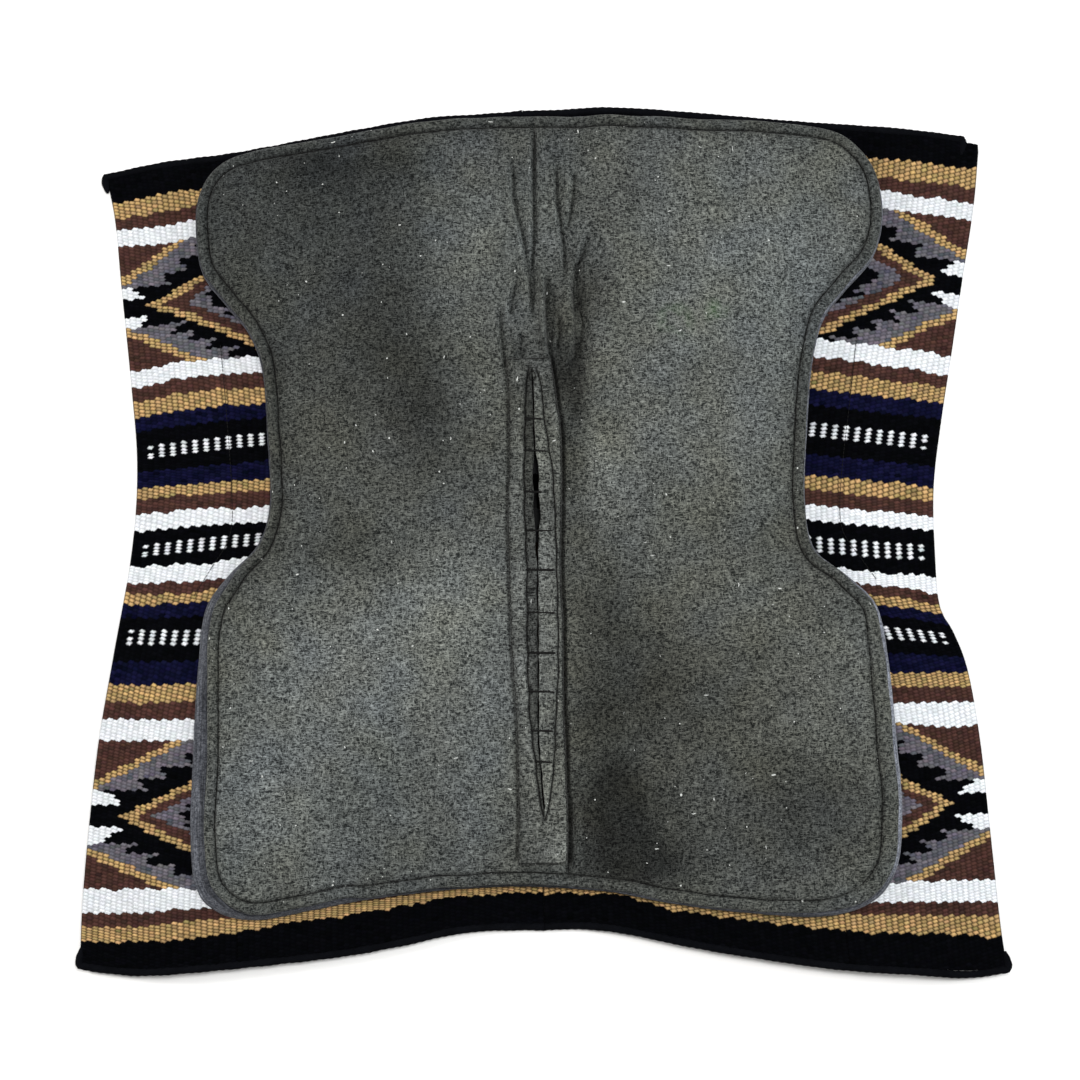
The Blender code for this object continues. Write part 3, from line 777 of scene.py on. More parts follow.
class Plan:
    """Where a place in the weave lies: s columns in from the selvedge, v mm from
    the withers end along the warps."""

    def __init__(self, side):
        self.side = side
        front = spline(FRONT_LEFT if side < 0 else FRONT_RIGHT[:-1], 12.0)
        edge = spline(SIDE_LEFT if side < 0 else SIDE_RIGHT, 8.0)
        rear = spline(REAR_LEFT_EDGE if side < 0 else REAR_RIGHT_EDGE, 12.0)
        self.xg = np.linspace(-475, -10, 187) if side < 0 else np.linspace(-10, 475, 195)
        rows = [(0.0, front)]
        for v, marks in STRIPES[side].items():
            p = place(marks, 6.0)
            rows.append((v, np.vstack([p, [[SPINE_X, 442.0 - v * 827.0 / 818.5]]])))
        rows.append((818.5, rear))
        self.v, table = [], []
        for v, p in rows:
            p = p[np.argsort(p[:, 0])]
            keep_ = np.r_[True, np.diff(p[:, 0]) > 1.0]
            p = p[keep_]
            self.v.append(v)
            table.append(steady(p[:, 0], p[:, 1])(self.xg))
        self.v, table = np.array(self.v), np.array(table)
        kernel = np.array([1, 3, 5, 7, 5, 3, 1.0])
        kernel /= kernel.sum()
        for k in range(len(table)):
            padded = np.r_[2 * table[k, 0] - table[k, 3:0:-1], table[k],
                           2 * table[k, -1] - table[k, -2:-5:-1]]
            table[k] = np.convolve(padded, kernel, "valid")
        self.table = table
        e = edge[np.argsort(edge[:, 1])]
        self.ey, self.ex = e[:, 1], e[:, 0]
        # the selvedge: where each row ends
        self.vs = np.linspace(0, 818.5, 819)
        x = np.full(len(self.vs), float(side * 430))
        for _ in range(14):
            x = 0.5 * x + 0.5 * np.interp(self.y(self.vs, x), self.ey, self.ex)
        self.xe = x

    def y(self, v, x):
        v, x = np.broadcast_arrays(np.asarray(v, float), np.asarray(x, float))
        g = np.clip(np.searchsorted(self.v, v) - 1, 0, len(self.v) - 2)
        t = (v - self.v[g]) / (self.v[g + 1] - self.v[g])
        q = (x - self.xg[0]) / (self.xg[1] - self.xg[0])
        k = np.clip(q.astype(int), 0, len(self.xg) - 2)
        f = q - k
        a = self.table[g, k] * (1 - f) + self.table[g, k + 1] * f
        b = self.table[g + 1, k] * (1 - f) + self.table[g + 1, k + 1] * f
        return a * (1 - t) + b * t

    def at(self, c, v):
        """Plan position of column c (0 to 79, from the selvedge) at v."""
        xe = np.interp(v, self.vs, self.xe)
        wide = np.abs(SPINE_X - xe) - 0.1
        s = c * COL
        d = np.where(s <= 200, s, 200 + (s - 200) * (wide - 200) / (COLS * COL - 200))
        x = xe - self.side * d
        return x, self.y(v, x)


# Each corner's diamond: mm from the selvedge, share of the band's height
CORNERS = {
    (-1, 0): dict(tip=(23, .484), up=(80, .324), low=(137, .967), out_up=(.30, 65),
                  out_low=(.683, 70), w1=(.34, .437, 24), w2=(.571, .675, 27)),
    (1, 0): dict(tip=(24.5, .473), up=(87, .256), low=(135, .977), out_up=(.273, 76),
                 out_low=(.685, 70), w1=(.312, .42, 25), w2=(.543, .65, 30)),
    (-1, 1): dict(tip=(30, .51), up=(93, .30), low=(100.7, .748), out_up=(.30, 84.5),
                  out_low=(.747, 89), w1=(.327, .435, 32), w2=(.578, .70, 35)),
    (1, 1): dict(tip=(33, .492), up=(84.8, .344), low=(88.6, .717), out_up=(.302, 80),
                 out_low=(.703, 86), w1=(.347, .437, 31), w2=(.573, .676, 36))}


def diamond(s, t, high, c):
    """Colour of the diamond band at s mm from the selvedge and t mm down it."""
    q = np.where(s <= 165.3, s, np.where(s <= 307.7, 330.7 - s, 23 + (s - 307.7)))
    q = np.where(q > 165.3, 330.7 - q, q)
    f = t / high
    line = 8.6
    up = np.interp(q, [c["tip"][0], c["up"][0], 165.3], [c["tip"][1], c["up"][1], 0.02])
    low = np.interp(q, [c["tip"][0], min(c["low"][0], 164), 165.3],
                    [c["tip"][1], c["low"][1], 0.985])
    e = np.minimum(f - up, low - f) * high
    inner = (q >= c["tip"][0]) & (e >= 0)
    f0, s0 = c["out_up"]
    f1, s1 = c["out_low"]
    ou = f0 * (1 - q / s0) * high
    ol = (f1 + (1 - f1) * q / s1) * high
    out = np.full(s.shape, BLACK)
    # grey flames off the outer lines
    centre = c["tip"][1] * high
    su = (1 - (t - line / 2) / (f0 * high)) * s0
    sl = ((t + line / 2) / high - f1) / (1 - f1) * s1
    pu, pl = 12.0, 10.6
    fu = c["w1"][0] * high + 0.5
    fl = c["w2"][1] * high - 0.5
    ku = (fu - t) / pu
    kl = (t - fl) / pl
    eu = np.where(ku > 0, 61 - 37 * (ku - np.floor(ku)) ** 0.72, -1)
    el = np.where(kl > 0, 59 - 36 * (kl - np.floor(kl)) ** 0.72, -1)
    out = np.where((t < centre) & (q - su < eu) & (t > ou), GREY, out)
    out = np.where((t > centre) & (q - sl < el) & (t < ol), GREY, out)
    # white wedges at the selvedge, flat towards the middle
    for (a, b, reach), sign in ((c["w1"], 1), (c["w2"], -1)):
        k = (f - a) / (b - a)
        grow = np.clip(k if sign > 0 else 1 - k, 0, 1)
        out = np.where((k >= 0) & (k <= 1) & (s < 8 + (reach - 8) * grow ** 0.8),
                       WHITE, out)
    out = np.where((t < ou - line / 2) | (t > ol + line / 2), BROWN, out)
    out = np.where((np.abs(t - ou) <= line / 2) | (np.abs(t - ol) <= line / 2), GOLD, out)
    # the diamond: gold line, brown, grey with teeth, black heart
    ring = np.full(s.shape, BLACK)
    depth = np.where(t < centre, 8.0, 10.0)
    grey = (e < line + depth + 13) | (
        (q - c["tip"][0] < 62) & (e < line + depth + 30))
    tooth = ((np.abs(t - centre) / 10.0) % 1.0)
    hearth = q - (c["tip"][0] + 62 + 16 * tooth + 0.55 * np.abs(t - centre)) > 0
    grey = grey & ~(hearth & (e > line + depth + 3 + 9 * tooth)) | (e < line + depth + 2)
    ring = np.where(grey, GREY, ring)
    ring = np.where(e < line + depth, BROWN, ring)
    ring = np.where(e < line, GOLD, ring)
    return np.where(inner, ring, out)


def pattern(side):
    """Colour of every bead: 79 columns from the selvedge by rows from the front."""
    rnd = np.random.default_rng(21 + side)
    c, k = np.meshgrid(np.arange(COLS), np.arange(BEADS + 2), indexing="ij")
    v = V0 + (k + 0.5 - 0.5 * (c % 2)) * BEAD
    s = (c + 0.5) * COL
    nudge = rnd.uniform(-0.55, 0.55, (COLS, 1)) + rnd.uniform(-0.25, 0.25, v.shape)
    band = np.clip(np.searchsorted(EDGES, v + nudge) - 1, 0, len(BANDS) - 1)
    code = np.array(BANDS)[band]
    for half in (0, 1):
        b = 4 if half == 0 else 24
        here = band == b
        high = EDGES[b + 1] - EDGES[b]
        shade = diamond(s + rnd.uniform(-0.8, 0.8, s.shape), v - EDGES[b], high,
                        CORNERS[(side, half)])
        code = np.where(here, shade, code)
    for b in (9, 14, 19):
        mid = (EDGES[b] + EDGES[b + 1]) / 2
        row = (np.abs(v - mid) < 2 * BEAD) & (band == b) & (c % 2 == 0) & (c > 0)
        code = np.where(row, WHITE_BEAD, code)
        # the first stack by the selvedge is broken
        code = np.where((c == 2) & row & (np.abs(v - mid) < 0.9 * BEAD)
                        & ((v - mid) * side > 0), BLACK, code)
    return np.where(code == BEADED, BLACK, code)


RELIEF = 1.2


def cloth(side, plan, code, name, c0, c1, js, up, fine=(3, 4), rows=2, back=(3, 8),
          dense=None):
    """One face of the double weave, from column c0 to c1. js are the sampled
    quarter beads down the cloth. up is True for the face under the felt."""
    rnd = np.random.default_rng(5 + side + c0 + (50 if up else 0))
    na = fine[0]
    frac = [0.0, 0.3, 0.7] if na == 3 else [0.0, 0.5]
    js = np.asarray(js)
    col = np.concatenate([c + np.array(frac) for c in range(c0, c1)] + [[c1]])
    part = np.array([m % na for m in range(len(col))])
    idx = np.array([c0 + m // na for m in range(len(col))])
    idx = np.minimum(idx, COLS - 1)
    parity = idx % 2
    phase = ((js[None, :] + 2 * parity[:, None]) % 4) / 4.0
    bead = (js[None, :] + 2 * parity[:, None]) // 4
    along = 0.24 + 0.76 * np.sin(np.pi * phase) ** 0.7
    jolt = rnd.normal(0, 1, (COLS, BEADS + 3))
    size = 1 + 0.10 * jolt[idx[:, None], np.minimum(bead, BEADS + 2)]
    h = np.where(part[:, None] == 0, 0.10, along * size)
    if dense is not None:
        flat = ~dense
        h = np.where(flat[None, :], 0.55, h)
    # beads bulge over the column edge into the gap of their neighbours
    bulge = np.where(part[:, None] == 0, np.cos(2 * np.pi * (phase - 0.5)) * -0.19, 0.0)
    if c0 == 0:
        bulge[0] = 0
    bulge[-1] = 0
    shift = 0.02 * rnd.normal(0, 1, (COLS + 1,))
    cc = col[:, None] + bulge + shift[idx][:, None] * (part[:, None] > 0)
    v = V0 + js[None, :] * BEAD / 4.0 + 0 * cc
    wander = 0.35 * waves(col[:, None] * COL, v, 60.0, 9) \
        + 0.22 * rnd.normal(0, 1, (COLS + 1,))[idx][:, None]
    ends = np.minimum(1, np.minimum(js, BEADS * 4 - js) / 12.0)[None, :]
    lean = np.where(part == 0, 0.0, np.where(part == 1, -0.42, 0.42))[:, None]
    if na == 2:
        lean = 0 * lean
    x, y = plan.at(cc, v + (wander + lean) * ends)
    z = drape(x, y)
    s = col * COL
    round_ = np.sqrt(np.clip(1 - (1 - np.minimum(s / 3.2, 1)) ** 2, 0, 1))[:, None]
    if up:
        off = 6.0 - RELIEF + RELIEF * h
        off = 3.05 + (off - 3.05) * (0.05 + 0.95 * round_)
        behind = 3.02
    else:
        off = RELIEF * (1 - np.minimum(h, 1.0))
        off = 2.95 - (2.95 - off) * (0.05 + 0.95 * round_)
        behind = 2.98
    top = np.stack([x, y, z + off], -1)
    ci = list(range(0, len(col), back[0]))
    if ci[-1] != len(col) - 1:
        ci.append(len(col) - 1)
    cj = list(range(0, len(js), back[1]))
    if cj[-1] != len(js) - 1:
        cj.append(len(js) - 1)
    bx, by = x[np.ix_(ci, cj)], y[np.ix_(ci, cj)]
    rear = np.stack([bx, by, drape(bx, by) + behind], -1)
    ob, grid, n = slab(name, top, rear, ci, cj, rows)
    gi, gj = grid[:, 0], grid[:, 1]
    fc = np.minimum(idx[gi], COLS - 1)
    mid = (js[gj] + js[np.minimum(gj + 1, len(js) - 1)]) / 2.0
    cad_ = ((mid + 2 * (fc % 2)) // 4).astype(int)
    what = code[fc, np.clip(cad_, 0, code.shape[1] - 1)]
    tint = np.random.default_rng(77 + side).normal(0, 1, (COLS, BEADS + 3, 3))
    local = tint[fc, np.clip(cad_, 0, BEADS + 2)]
    amount = np.array([0.25, 0.13, 0.16, 0.035, 0.28, 0.17, 0.05])[what]
    rgb = PAINT[what] * np.clip(1 + amount[:, None] * (local[:, :1] * 0.9
                                                       + 0.25 * local), 0.3, 1.8)
    if side > 0:
        # painted light: the white is painted a little lighter towards the right rear,
        # standing in for brighter light there
        painted_light = 0.10 * sm((260 - y[gi, gj]) / 160) * (what == WHITE)
        rgb = rgb * (1 + painted_light)[:, None]
    if c0 and up:
        # painted shade: the cloth at the bottom of the slot is darkened almost to black, for
        # the shade down in the slot
        fx, fy = x[gi, gj], y[gi, gj]
        rgb = rgb * (1 - 0.98 * sm((15 - np.abs(fx + 7)) / 4) * sm((fy + 272) / 6)
                     * sm((164 - fy) / 6))[:, None]
    faces_colour(ob, "col", rgb)
    # the painted shade in the gaps between beads: its strength for each colour, and each
    # point's height
    faces_value(ob, "deep", BEAD_GAP_SHADE[what])
    cav = np.ones(len(ob.data.vertices))
    cav[:h.size] = np.clip(h, 0, 1).ravel()
    points_value(ob, "cav", cav)
    return ob


cloths = {}
for side in (-1, 1):
    tag = "left" if side < 0 else "right"
    plan = Plan(side)
    code = pattern(side)
    every = np.arange(0, BEADS * 4 + 1)
    edge = cloth(side, plan, code, "woven_overhang_" + tag, 0, STRIP_COLS, every, True)
    mids = np.r_[np.arange(0, 48), np.arange(48, 868, 20), np.arange(868, 945)]
    dense = (mids <= 48) | (mids >= 868)
    mid = cloth(side, plan, code, "woven_under_felt_" + tag, STRIP_COLS, COLS, mids, True,
                rows=1, back=(3, 4), dense=dense)
    show = cloth(side, plan, code, "woven_show_face_" + tag, 0, COLS,
                 np.arange(0, BEADS * 4 + 1, 2), False, fine=(2, 2), rows=1, back=(3, 6))
    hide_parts("woven_blanket_" + tag, "woven_spine_" + tag)
    for ob in (edge, mid, show):
        finish(ob, WOVEN, side)
    cloths[side] = (show, edge, mid)

# the thread that joins the blanket's halves, down in the seam
seam_y = np.linspace(-384.0, 440.0, 240)
v, f = tube(np.c_[np.full(240, SPINE_X), seam_y, drape(np.full(240, SPINE_X), seam_y) + 3.05],
            0.9, 8)
ob = make("woven_spine_seam_thread", v, f)
outward(ob)
finish(ob, THREAD)

# ------------------------------------------------------------------ end cords
for side in (-1, 1):
    tag = "left" if side < 0 else "right"
    for end, line in (("front", FRONT_LEFT if side < 0 else FRONT_RIGHT[:-1]),
                      ("rear", REAR_LEFT_EDGE if side < 0 else REAR_RIGHT_EDGE)):
        sign = -1 if end == "front" else 1
        p = spline(line, 3.0)
        p = p[np.argsort(side * p[:, 0])]
        t = tangents(p)
        n = np.stack([-t[:, 1], t[:, 0]], 1)
        n *= np.sign(n[:, 1:] * sign)
        p = p + n * 4.2
        # round the corner and a little way along the selvedge
        out = np.array([side * 1.0, 0.0])
        tip = p[-1]
        turn = [tip + out * 0.8 + np.array([0, sign * 1.2]),
                tip + out * 1.2 + np.array([0, sign * 4.5]),
                tip + out * 0.2 + np.array([0, sign * 10.0]),
                tip + out * -1.6 + np.array([0, sign * 17.0])]
        p[0, 0] = SPINE_X + side * 0.05
        p = even(np.vstack([p, turn]), 2.2)
        p[0, 0] = SPINE_X + side * 0.05
        d = np.arange(len(p)) * 2.2
        z = np.maximum(drape(p[:, 0], p[:, 1]) + 3.9, 3.9)
        z[-5:] += np.array([0, 0.1, 0.2, 0.3, 0.3])
        a = np.arange(12) * 2 * math.pi / 12
        lay = 2 * math.pi * d / 15.0
        fat = 1 + 0.05 * waves(d, 0 * d, 40, 4 + side) + 0.10 * sm((d - d[-1] + 26) / 20)
        fat[-6:] *= np.array([0.97, 0.9, 0.8, 0.68, 0.55, 0.38])
        r = 3.7 * fat[:, None] * (1 + 0.07 * np.cos(2 * (a[None, :] - lay[:, None])))
        r = np.minimum(r, 4.15)
        v, f = tube(np.c_[p, z], r, 12, 0.3)
        v[len(p) * 12] = (SPINE_X + side * 0.05, p[0, 1], z[0])
        ob = make("%s_end_cord_twist_%s" % (end, tag), v, f)
        outward(ob)
        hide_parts(end + "_end_cord_" + tag, end + "_end_cord_spine_" + tag)
        finish(ob, CORD, side)

# ------------------------------------------------------------------ felt shapes
# liner: how far in from its edge, and height over the drape
RIM = np.array([(1.6, 18.55), (0.4, 19.2), (0.0, 20.4), (0.15, 21.8), (0.9, 23.2),
                (2.3, 24.4), (4.2, 25.15), (6.3, 25.3), (8.4, 25.0), (9.8, 24.3),
                (10.8, 23.1), (11.4, 22.1), (12.0, 22.4), (12.9, 23.5), (14.4, 24.4),
                (17.4, 24.9), (22.0, 25.0)])


def rim_scale(x, y):
    """The stitching is farther in round the right rear lobe."""
    return 1 + 0.40 * sm((-y - 50) / 120) * sm((x - 262) / 50) - 0.08 * lobe_left(x, y)


def lobe_left(x, y):
    """0 to 1, where the core shows as a step round the left rear lobe."""
    low = 0.20 + 0.80 * sm((-x - 288) / 50.0)
    high = 0.62 + 0.38 * sm((-y - 90) / 120.0)
    return sm((60.0 - y) / 90.0) * low * high * sm((-x - 178) / 22.0)


def liner_offset(d):
    """Height of the liner's top over the drape, d mm in from its edge."""
    top = RIM[6:]
    near = np.interp(d, top[:, 0], top[:, 1])
    return np.where(d < 22.0, near, 24.15 + 0.85 * np.exp(-(np.maximum(d, 22) - 22) / 26))


# creases and ridges in front of the slot: frame positions, height (mm), width (mm),
# strength of the painted shade
FOLDS = [
    ([(511, 148), (514, 200), (518, 219), (522, 231), (526, 252), (529.5, 280), (532, 305),
      (534, 325)], -3.0, 2.7, .50),
    ([(533, 112), (533.3, 187), (534, 230), (532.2, 262), (533, 290), (534, 310)],
     -3.6, 2.4, .66),
    ([(556, 155), (557, 200), (561.4, 229), (564.3, 252), (565, 278)], -2.9, 2.5, .56),
    ([(575, 165), (573, 193), (571, 211), (566, 233)], -2.7, 2.8, .48),
    ([(592, 224), (583, 252), (576.6, 266), (574, 288), (574.8, 305), (577.5, 320),
      (576, 354), (566, 376)], -3.8, 3.4, .54),
    ([(583, 262), (581, 300), (583, 340), (580, 375), (574, 430)], -2.6, 10.0, .36),
    ([(547, 270), (546, 297), (547, 328), (549.8, 350), (553, 364)], -5.0, 2.3, .75),
    ([(553.5, 278), (553.5, 318), (553.5, 342)], -2.0, 4.6, .28),
    ([(558.8, 314), (559.8, 336), (556, 354)], -2.6, 2.2, .55),
    ([(517, 276), (512.3, 296), (510, 316)], -2.6, 2.3, .48),
    ([(499.8, 302), (500.7, 332), (502.5, 350), (506, 370)], -2.2, 2.2, .48),
    ([(521, 330), (520, 350), (523, 360)], -2.4, 3.6, .34),
    ([(541, 262), (541, 310), (543.5, 352)], 2.0, 2.8, 0),
    ([(565, 288), (563.5, 320), (562, 350)], 1.8, 4.0, 0),
    ([(576, 796), (576.5, 870)], 2.2, 4.2, 0),
    ([(583.5, 800), (584, 870)], -2.0, 2.2, .42),
    ([(571.5, 790), (572, 866)], -1.4, 2.0, .34),
    ([(601, 812), (601, 870)], -1.4, 2.2, .30),
    ([(568.5, 850), (568.8, 880)], -2.6, 1.9, .55),
    ([(573.5, 872), (573.5, 884)], -1.2, 1.6, .4),
]
FOLDS = [(place(np.array(p, float), 24.5), 1.45 * h, w, min(0.88, 1.42 * k))
         for p, h, w, k in FOLDS]


def fold_at(x, y, line):
    """How far to the right of a fold a place lies, and how far along it, 0 to 1."""
    o = np.argsort(line[:, 1])
    ly, lx = line[o, 1], line[o, 0]
    return x - np.interp(y, ly, lx), (y - ly[0]) / (ly[-1] - ly[0])


def painted_crease_shade(x, y):
    """Painted shade down in the creases and a painted highlight on each ridge, as a factor on
    the felt's colour. A fold is dark just to the right of its ridge and clears slowly."""
    x, y = np.asarray(x, float), np.asarray(y, float)
    out = np.ones(np.broadcast(x, y).shape)
    for line, h, w, k in FOLDS:
        if not k:
            continue
        dx, t = fold_at(x, y, line)
        c = np.maximum(w * 0.62, 1.5)
        dark = np.where(dx < 0, np.exp(-(dx / (0.7 * c)) ** 2),
                        0.6 * np.exp(-(dx / (0.95 * c)) ** 2)
                        + 0.4 * np.exp(-(dx / (2.8 * c)) ** 2))
        light = np.exp(-((dx + 2.2 * c) / (1.2 * c)) ** 2)
        fade = sm(t / 0.12) * sm((1 - t) / 0.2)
        out *= (1 - k * dark * fade) * (1 + 0.44 * k * light * fade)
    # painted shadow in the crevices along the strip's left and right edges
    along = sm((y - STRIP_Y0 + 3) / 8) * sm((STRIP_FRONT + 3 - y) / 8)
    out = out * (1 - 0.74 * np.exp(-((x - strip_left(y) + 0.7) / 1.4) ** 2) * along)
    out = out * (1 - 0.88 * np.exp(-((x - strip_right(y) - 1.2) / 2.2) ** 2) * along)
    return out


def creased(x, y):
    """Height that the creases add to the felt, mm: steep on the left of each fold,
    with a ridge beside it, and slow to level out on the right."""
    x, y = np.asarray(x, float), np.asarray(y, float)
    out = np.zeros(np.broadcast(x, y).shape)
    for line, h, w, _ in FOLDS:
        dx, t = fold_at(x, y, line)
        fade = sm(t / 0.14) * sm((1 - t) / 0.16)
        dip = np.where(dx < 0, np.exp(-(dx / (0.8 * w)) ** 2), np.exp(-(dx / (1.5 * w)) ** 2))
        ridge = np.exp(-((dx + 1.9 * w) / (0.9 * w)) ** 2) if h < 0 else 0.0
        out += h * (dip - 0.42 * ridge) * fade
    return out


def bulging(x, y):
    """Broad swell and hollows of the felt, mm."""
    s = x - SPINE_X
    a = np.abs(s)
    valley = 2.6 * np.exp(-((a - 78) / 34) ** 2) * sm((y + 330) / 80) * sm((410 - y) / 90)
    return valley + 0.55 * waves(x, y, 130, 31) + 0.28 * waves(x, y, 46, 32)


def fade_rim(d):
    return sm((d - 2) / 24.0)


def liner_top(x, y, d):
    """Height of the liner's top, mm. d is how far the place is in from its edge."""
    extra = (bulging(x, y) + creased(x, y)) * fade_rim(d)
    # pressed down beside the strip
    along = sm((y - STRIP_Y0 + 3) / 8) * sm((STRIP_FRONT + 3 - y) / 8)
    press = -0.9 * np.exp(-((x - strip_left(y) + 0.4) / 1.2) ** 2) * along
    press = press - 3.4 * np.exp(-((x - strip_right(y) - 0.8) / 2.4) ** 2) * along
    return drape(x, y) + liner_offset(d / rim_scale(x, y)) + extra + press


STRIP_FRONT = 179.5
_l = place([(505.5, 361), (506.3, 368), (508.2, 397), (508.7, 426), (509.2, 473),
            (507.8, 489), (507.3, 518), (508.2, 556), (509.7, 604), (511, 648),
            (513, 677), (515, 701), (516.8, 734), (517.8, 778), (518.3, 817),
            (517.8, 856)], 26.0)
_r = place([(550.5, 355), (552.7, 368), (555.6, 387), (558, 407), (560.4, 421),
            (561.8, 440), (562.3, 479), (561.8, 518), (560.9, 556), (561.8, 594),
            (563.3, 613), (563.7, 677), (564.2, 715), (566, 744), (566.6, 778),
            (568, 807), (568.5, 836), (568, 860)], 26.0)


def strip_left(y):
    return np.clip(np.interp(y, _l[::-1, 1], _l[::-1, 0]), -38.0, -29.0)


def strip_right(y):
    return np.clip(np.interp(y, _r[::-1, 1], _r[::-1, 0]), 9.0, 21.0)


def felt_outline(side):
    p = even(spline(FELT_LEFT if side < 0 else FELT_RIGHT, 3.0), 4.0)
    t = tangents(p)
    n = np.stack([-t[:, 1], t[:, 0]], 1) * (-side)
    n[0], n[-1] = (0, -1), (0, 1)
    for k in (1, 2):
        n[k] = n[k] * k / 3 + n[0] * (3 - k) / 3
        n[-1 - k] = n[-1 - k] * k / 3 + n[-1] * (3 - k) / 3
    n /= np.linalg.norm(n, axis=1)[:, None]
    return p, n


def seam_path(side, y_front, y_rear):
    """The felt's inner edge, from the front down the spine to the rear, with a
    step round the hollow under the slot. The points at the spine are the same
    for both halves."""
    wall = CHANNEL_X0 if side < 0 else CHANNEL_X1
    out = [(SEAM_FRONT, y) for y in np.arange(424, SLOT_Y1 + 1, -4.0)
           if y < y_front - 1.5]
    out += [(x, SLOT_Y1) for x in even([(SEAM_FRONT, 0), (wall, 0)], 4.0)[:-1, 0]]
    out += [(wall, y) for y in np.arange(SLOT_Y1, SLOT_Y0 - 1, -4.0)]
    out += [(x, SLOT_Y0) for x in even([(wall, 0), (SEAM_REAR, 0)], 4.0)[1:, 0]]
    out += [(SEAM_REAR, y) for y in np.arange(SLOT_Y0 - 4, -343, -4.0)
            if y > y_rear + 1.5]
    return np.array(out)


def fill(loop, extra):
    """Triangles that fill a closed plan loop, through the extra points too."""
    pts = [Vector(p) for p in loop] + [Vector(p) for p in extra]
    n = len(loop)
    out, _, tris, orig, _, _ = delaunay_2d_cdt(
        pts, [(k, (k + 1) % n) for k in range(n)], [list(range(n))], 1, 1e-6, True)
    back = [min(o) if o else -1 for o in orig]
    if -1 in back:
        raise ValueError("the outline crosses itself")
    t = np.array(tris)
    p = np.array([v[:] for v in out])[t].mean(1)
    t = t[inside(p[:, 0], p[:, 1], loop)]
    return [[back[k] for k in f] for f in t.tolist()]


def grid_points(loop, step, margin, keep_out=None):
    lo, hi = loop.min(0), loop.max(0)
    rows = np.arange(lo[1], hi[1], step * 0.866)
    cols = np.arange(lo[0], hi[0], step)
    x, y = np.meshgrid(cols, rows)
    x = x + (np.arange(len(rows)) % 2)[:, None] * step / 2
    # a small regular shake keeps the triangles from lining up
    x = x + 0.12 * step * np.sin(12.9 * x + 4.1 * y)
    y = y + 0.12 * step * np.sin(7.3 * y + 11.7 * x)
    x, y = x.ravel(), y.ravel()
    ok = inside(x, y, loop)
    x, y = x[ok], y[ok]
    d, _ = distance(x, y, loop, True)
    ok = d > margin
    if keep_out is not None:
        ok &= ~keep_out(x, y)
    return np.stack([x[ok], y[ok]], 1)


def felt_piece(name, side, edge, normal, prof_d, prof_z, top, low, inner, under_step=26.0,
               path=None):
    """A closed felt layer. Its rim has the profile given for each outline point,
    from the underside up and in; inner are the plan points of its top."""
    n, j = prof_d.shape
    plan_ = edge[:, None, :] + normal[:, None, :] * prof_d[..., None]
    z = prof_z
    ring = np.concatenate([plan_, z[..., None]], -1)
    verts = [ring.reshape(-1, 3)]
    k = np.arange(n * j).reshape(n, j)
    closed = path is None
    a = k if not closed else np.vstack([k, k[:1]])
    quads = np.stack([a[:-1, :-1], a[1:, :-1], a[1:, 1:], a[:-1, 1:]], -1).reshape(-1, 4)
    faces = quads.tolist()
    at = n * j
    loop_top = plan_[:, -1]
    ids_top = k[:, -1].tolist()
    loop_low = plan_[:, 0]
    ids_low = k[:, 0].tolist()
    if not closed:
        back = path[::-1]
        zt = top(back[:, 0], back[:, 1])
        zl = drape(back[:, 0], back[:, 1]) + low
        verts += [np.c_[back, zt], np.c_[back, zl]]
        m = len(back)
        pt = list(range(at, at + m))
        pl = list(range(at + m, at + 2 * m))
        at += 2 * m
        # bottom points under the two inner ends of the rim
        ends = plan_[[-1, 0], -1]
        verts.append(np.c_[ends, drape(ends[:, 0], ends[:, 1]) + low])
        eb = [at, at + 1]
        at += 2
        loop_top = np.vstack([loop_top, back])
        ids_top = ids_top + pt
        loop_low = np.vstack([loop_low, ends[:1], back, ends[1:]])
        ids_low = ids_low + [eb[0]] + pl + [eb[1]]
        run_t = [k[-1, -1], *pt, k[0, -1]]
        run_l = [eb[0], *pl, eb[1]]
        for p, q, r, s in zip(run_t, run_t[1:], run_l[1:], run_l):
            faces.append([int(p), int(q), int(r), int(s)])
        faces.append([int(v) for v in k[-1]] + [eb[0]])
        faces.append([int(v) for v in k[0][::-1]] + [eb[1]])
    for loop, ids, pts, height in (
            (loop_top, ids_top, inner, top),
            (loop_low, ids_low, grid_points(loop_low, under_step, under_step * 0.4),
             lambda x, y: drape(x, y) + low)):
        tris = fill(loop, pts)
        verts.append(np.c_[pts, height(pts[:, 0], pts[:, 1])])
        lookup = ids + list(range(at, at + len(pts)))
        at += len(pts)
        faces += [[int(lookup[v]) for v in t] for t in tris]
    ob = make(name, np.concatenate(verts), faces, rest=False)
    outward(ob)
    keep(ob.data)
    if not closed:
        # the cut along the spine stays crisp
        co = np.zeros(len(ob.data.vertices) * 3, np.float32)
        ob.data.vertices.foreach_get("co", co)
        nz = np.zeros(len(ob.data.polygons) * 3, np.float32)
        ob.data.polygons.foreach_get("normal", nz)
        nz = nz.reshape(-1, 3)
        ctr = np.zeros(len(ob.data.polygons) * 3, np.float32)
        ob.data.polygons.foreach_get("center", ctr)
        ctr = ctr.reshape(-1, 3)
        wall = (np.abs(nz[:, 2]) < 0.3) & (np.abs(ctr[:, 0] * 1000 - SPINE_X) < 26)
        ob.data.polygons.foreach_set("use_smooth", ~wall)
    return ob, n * j
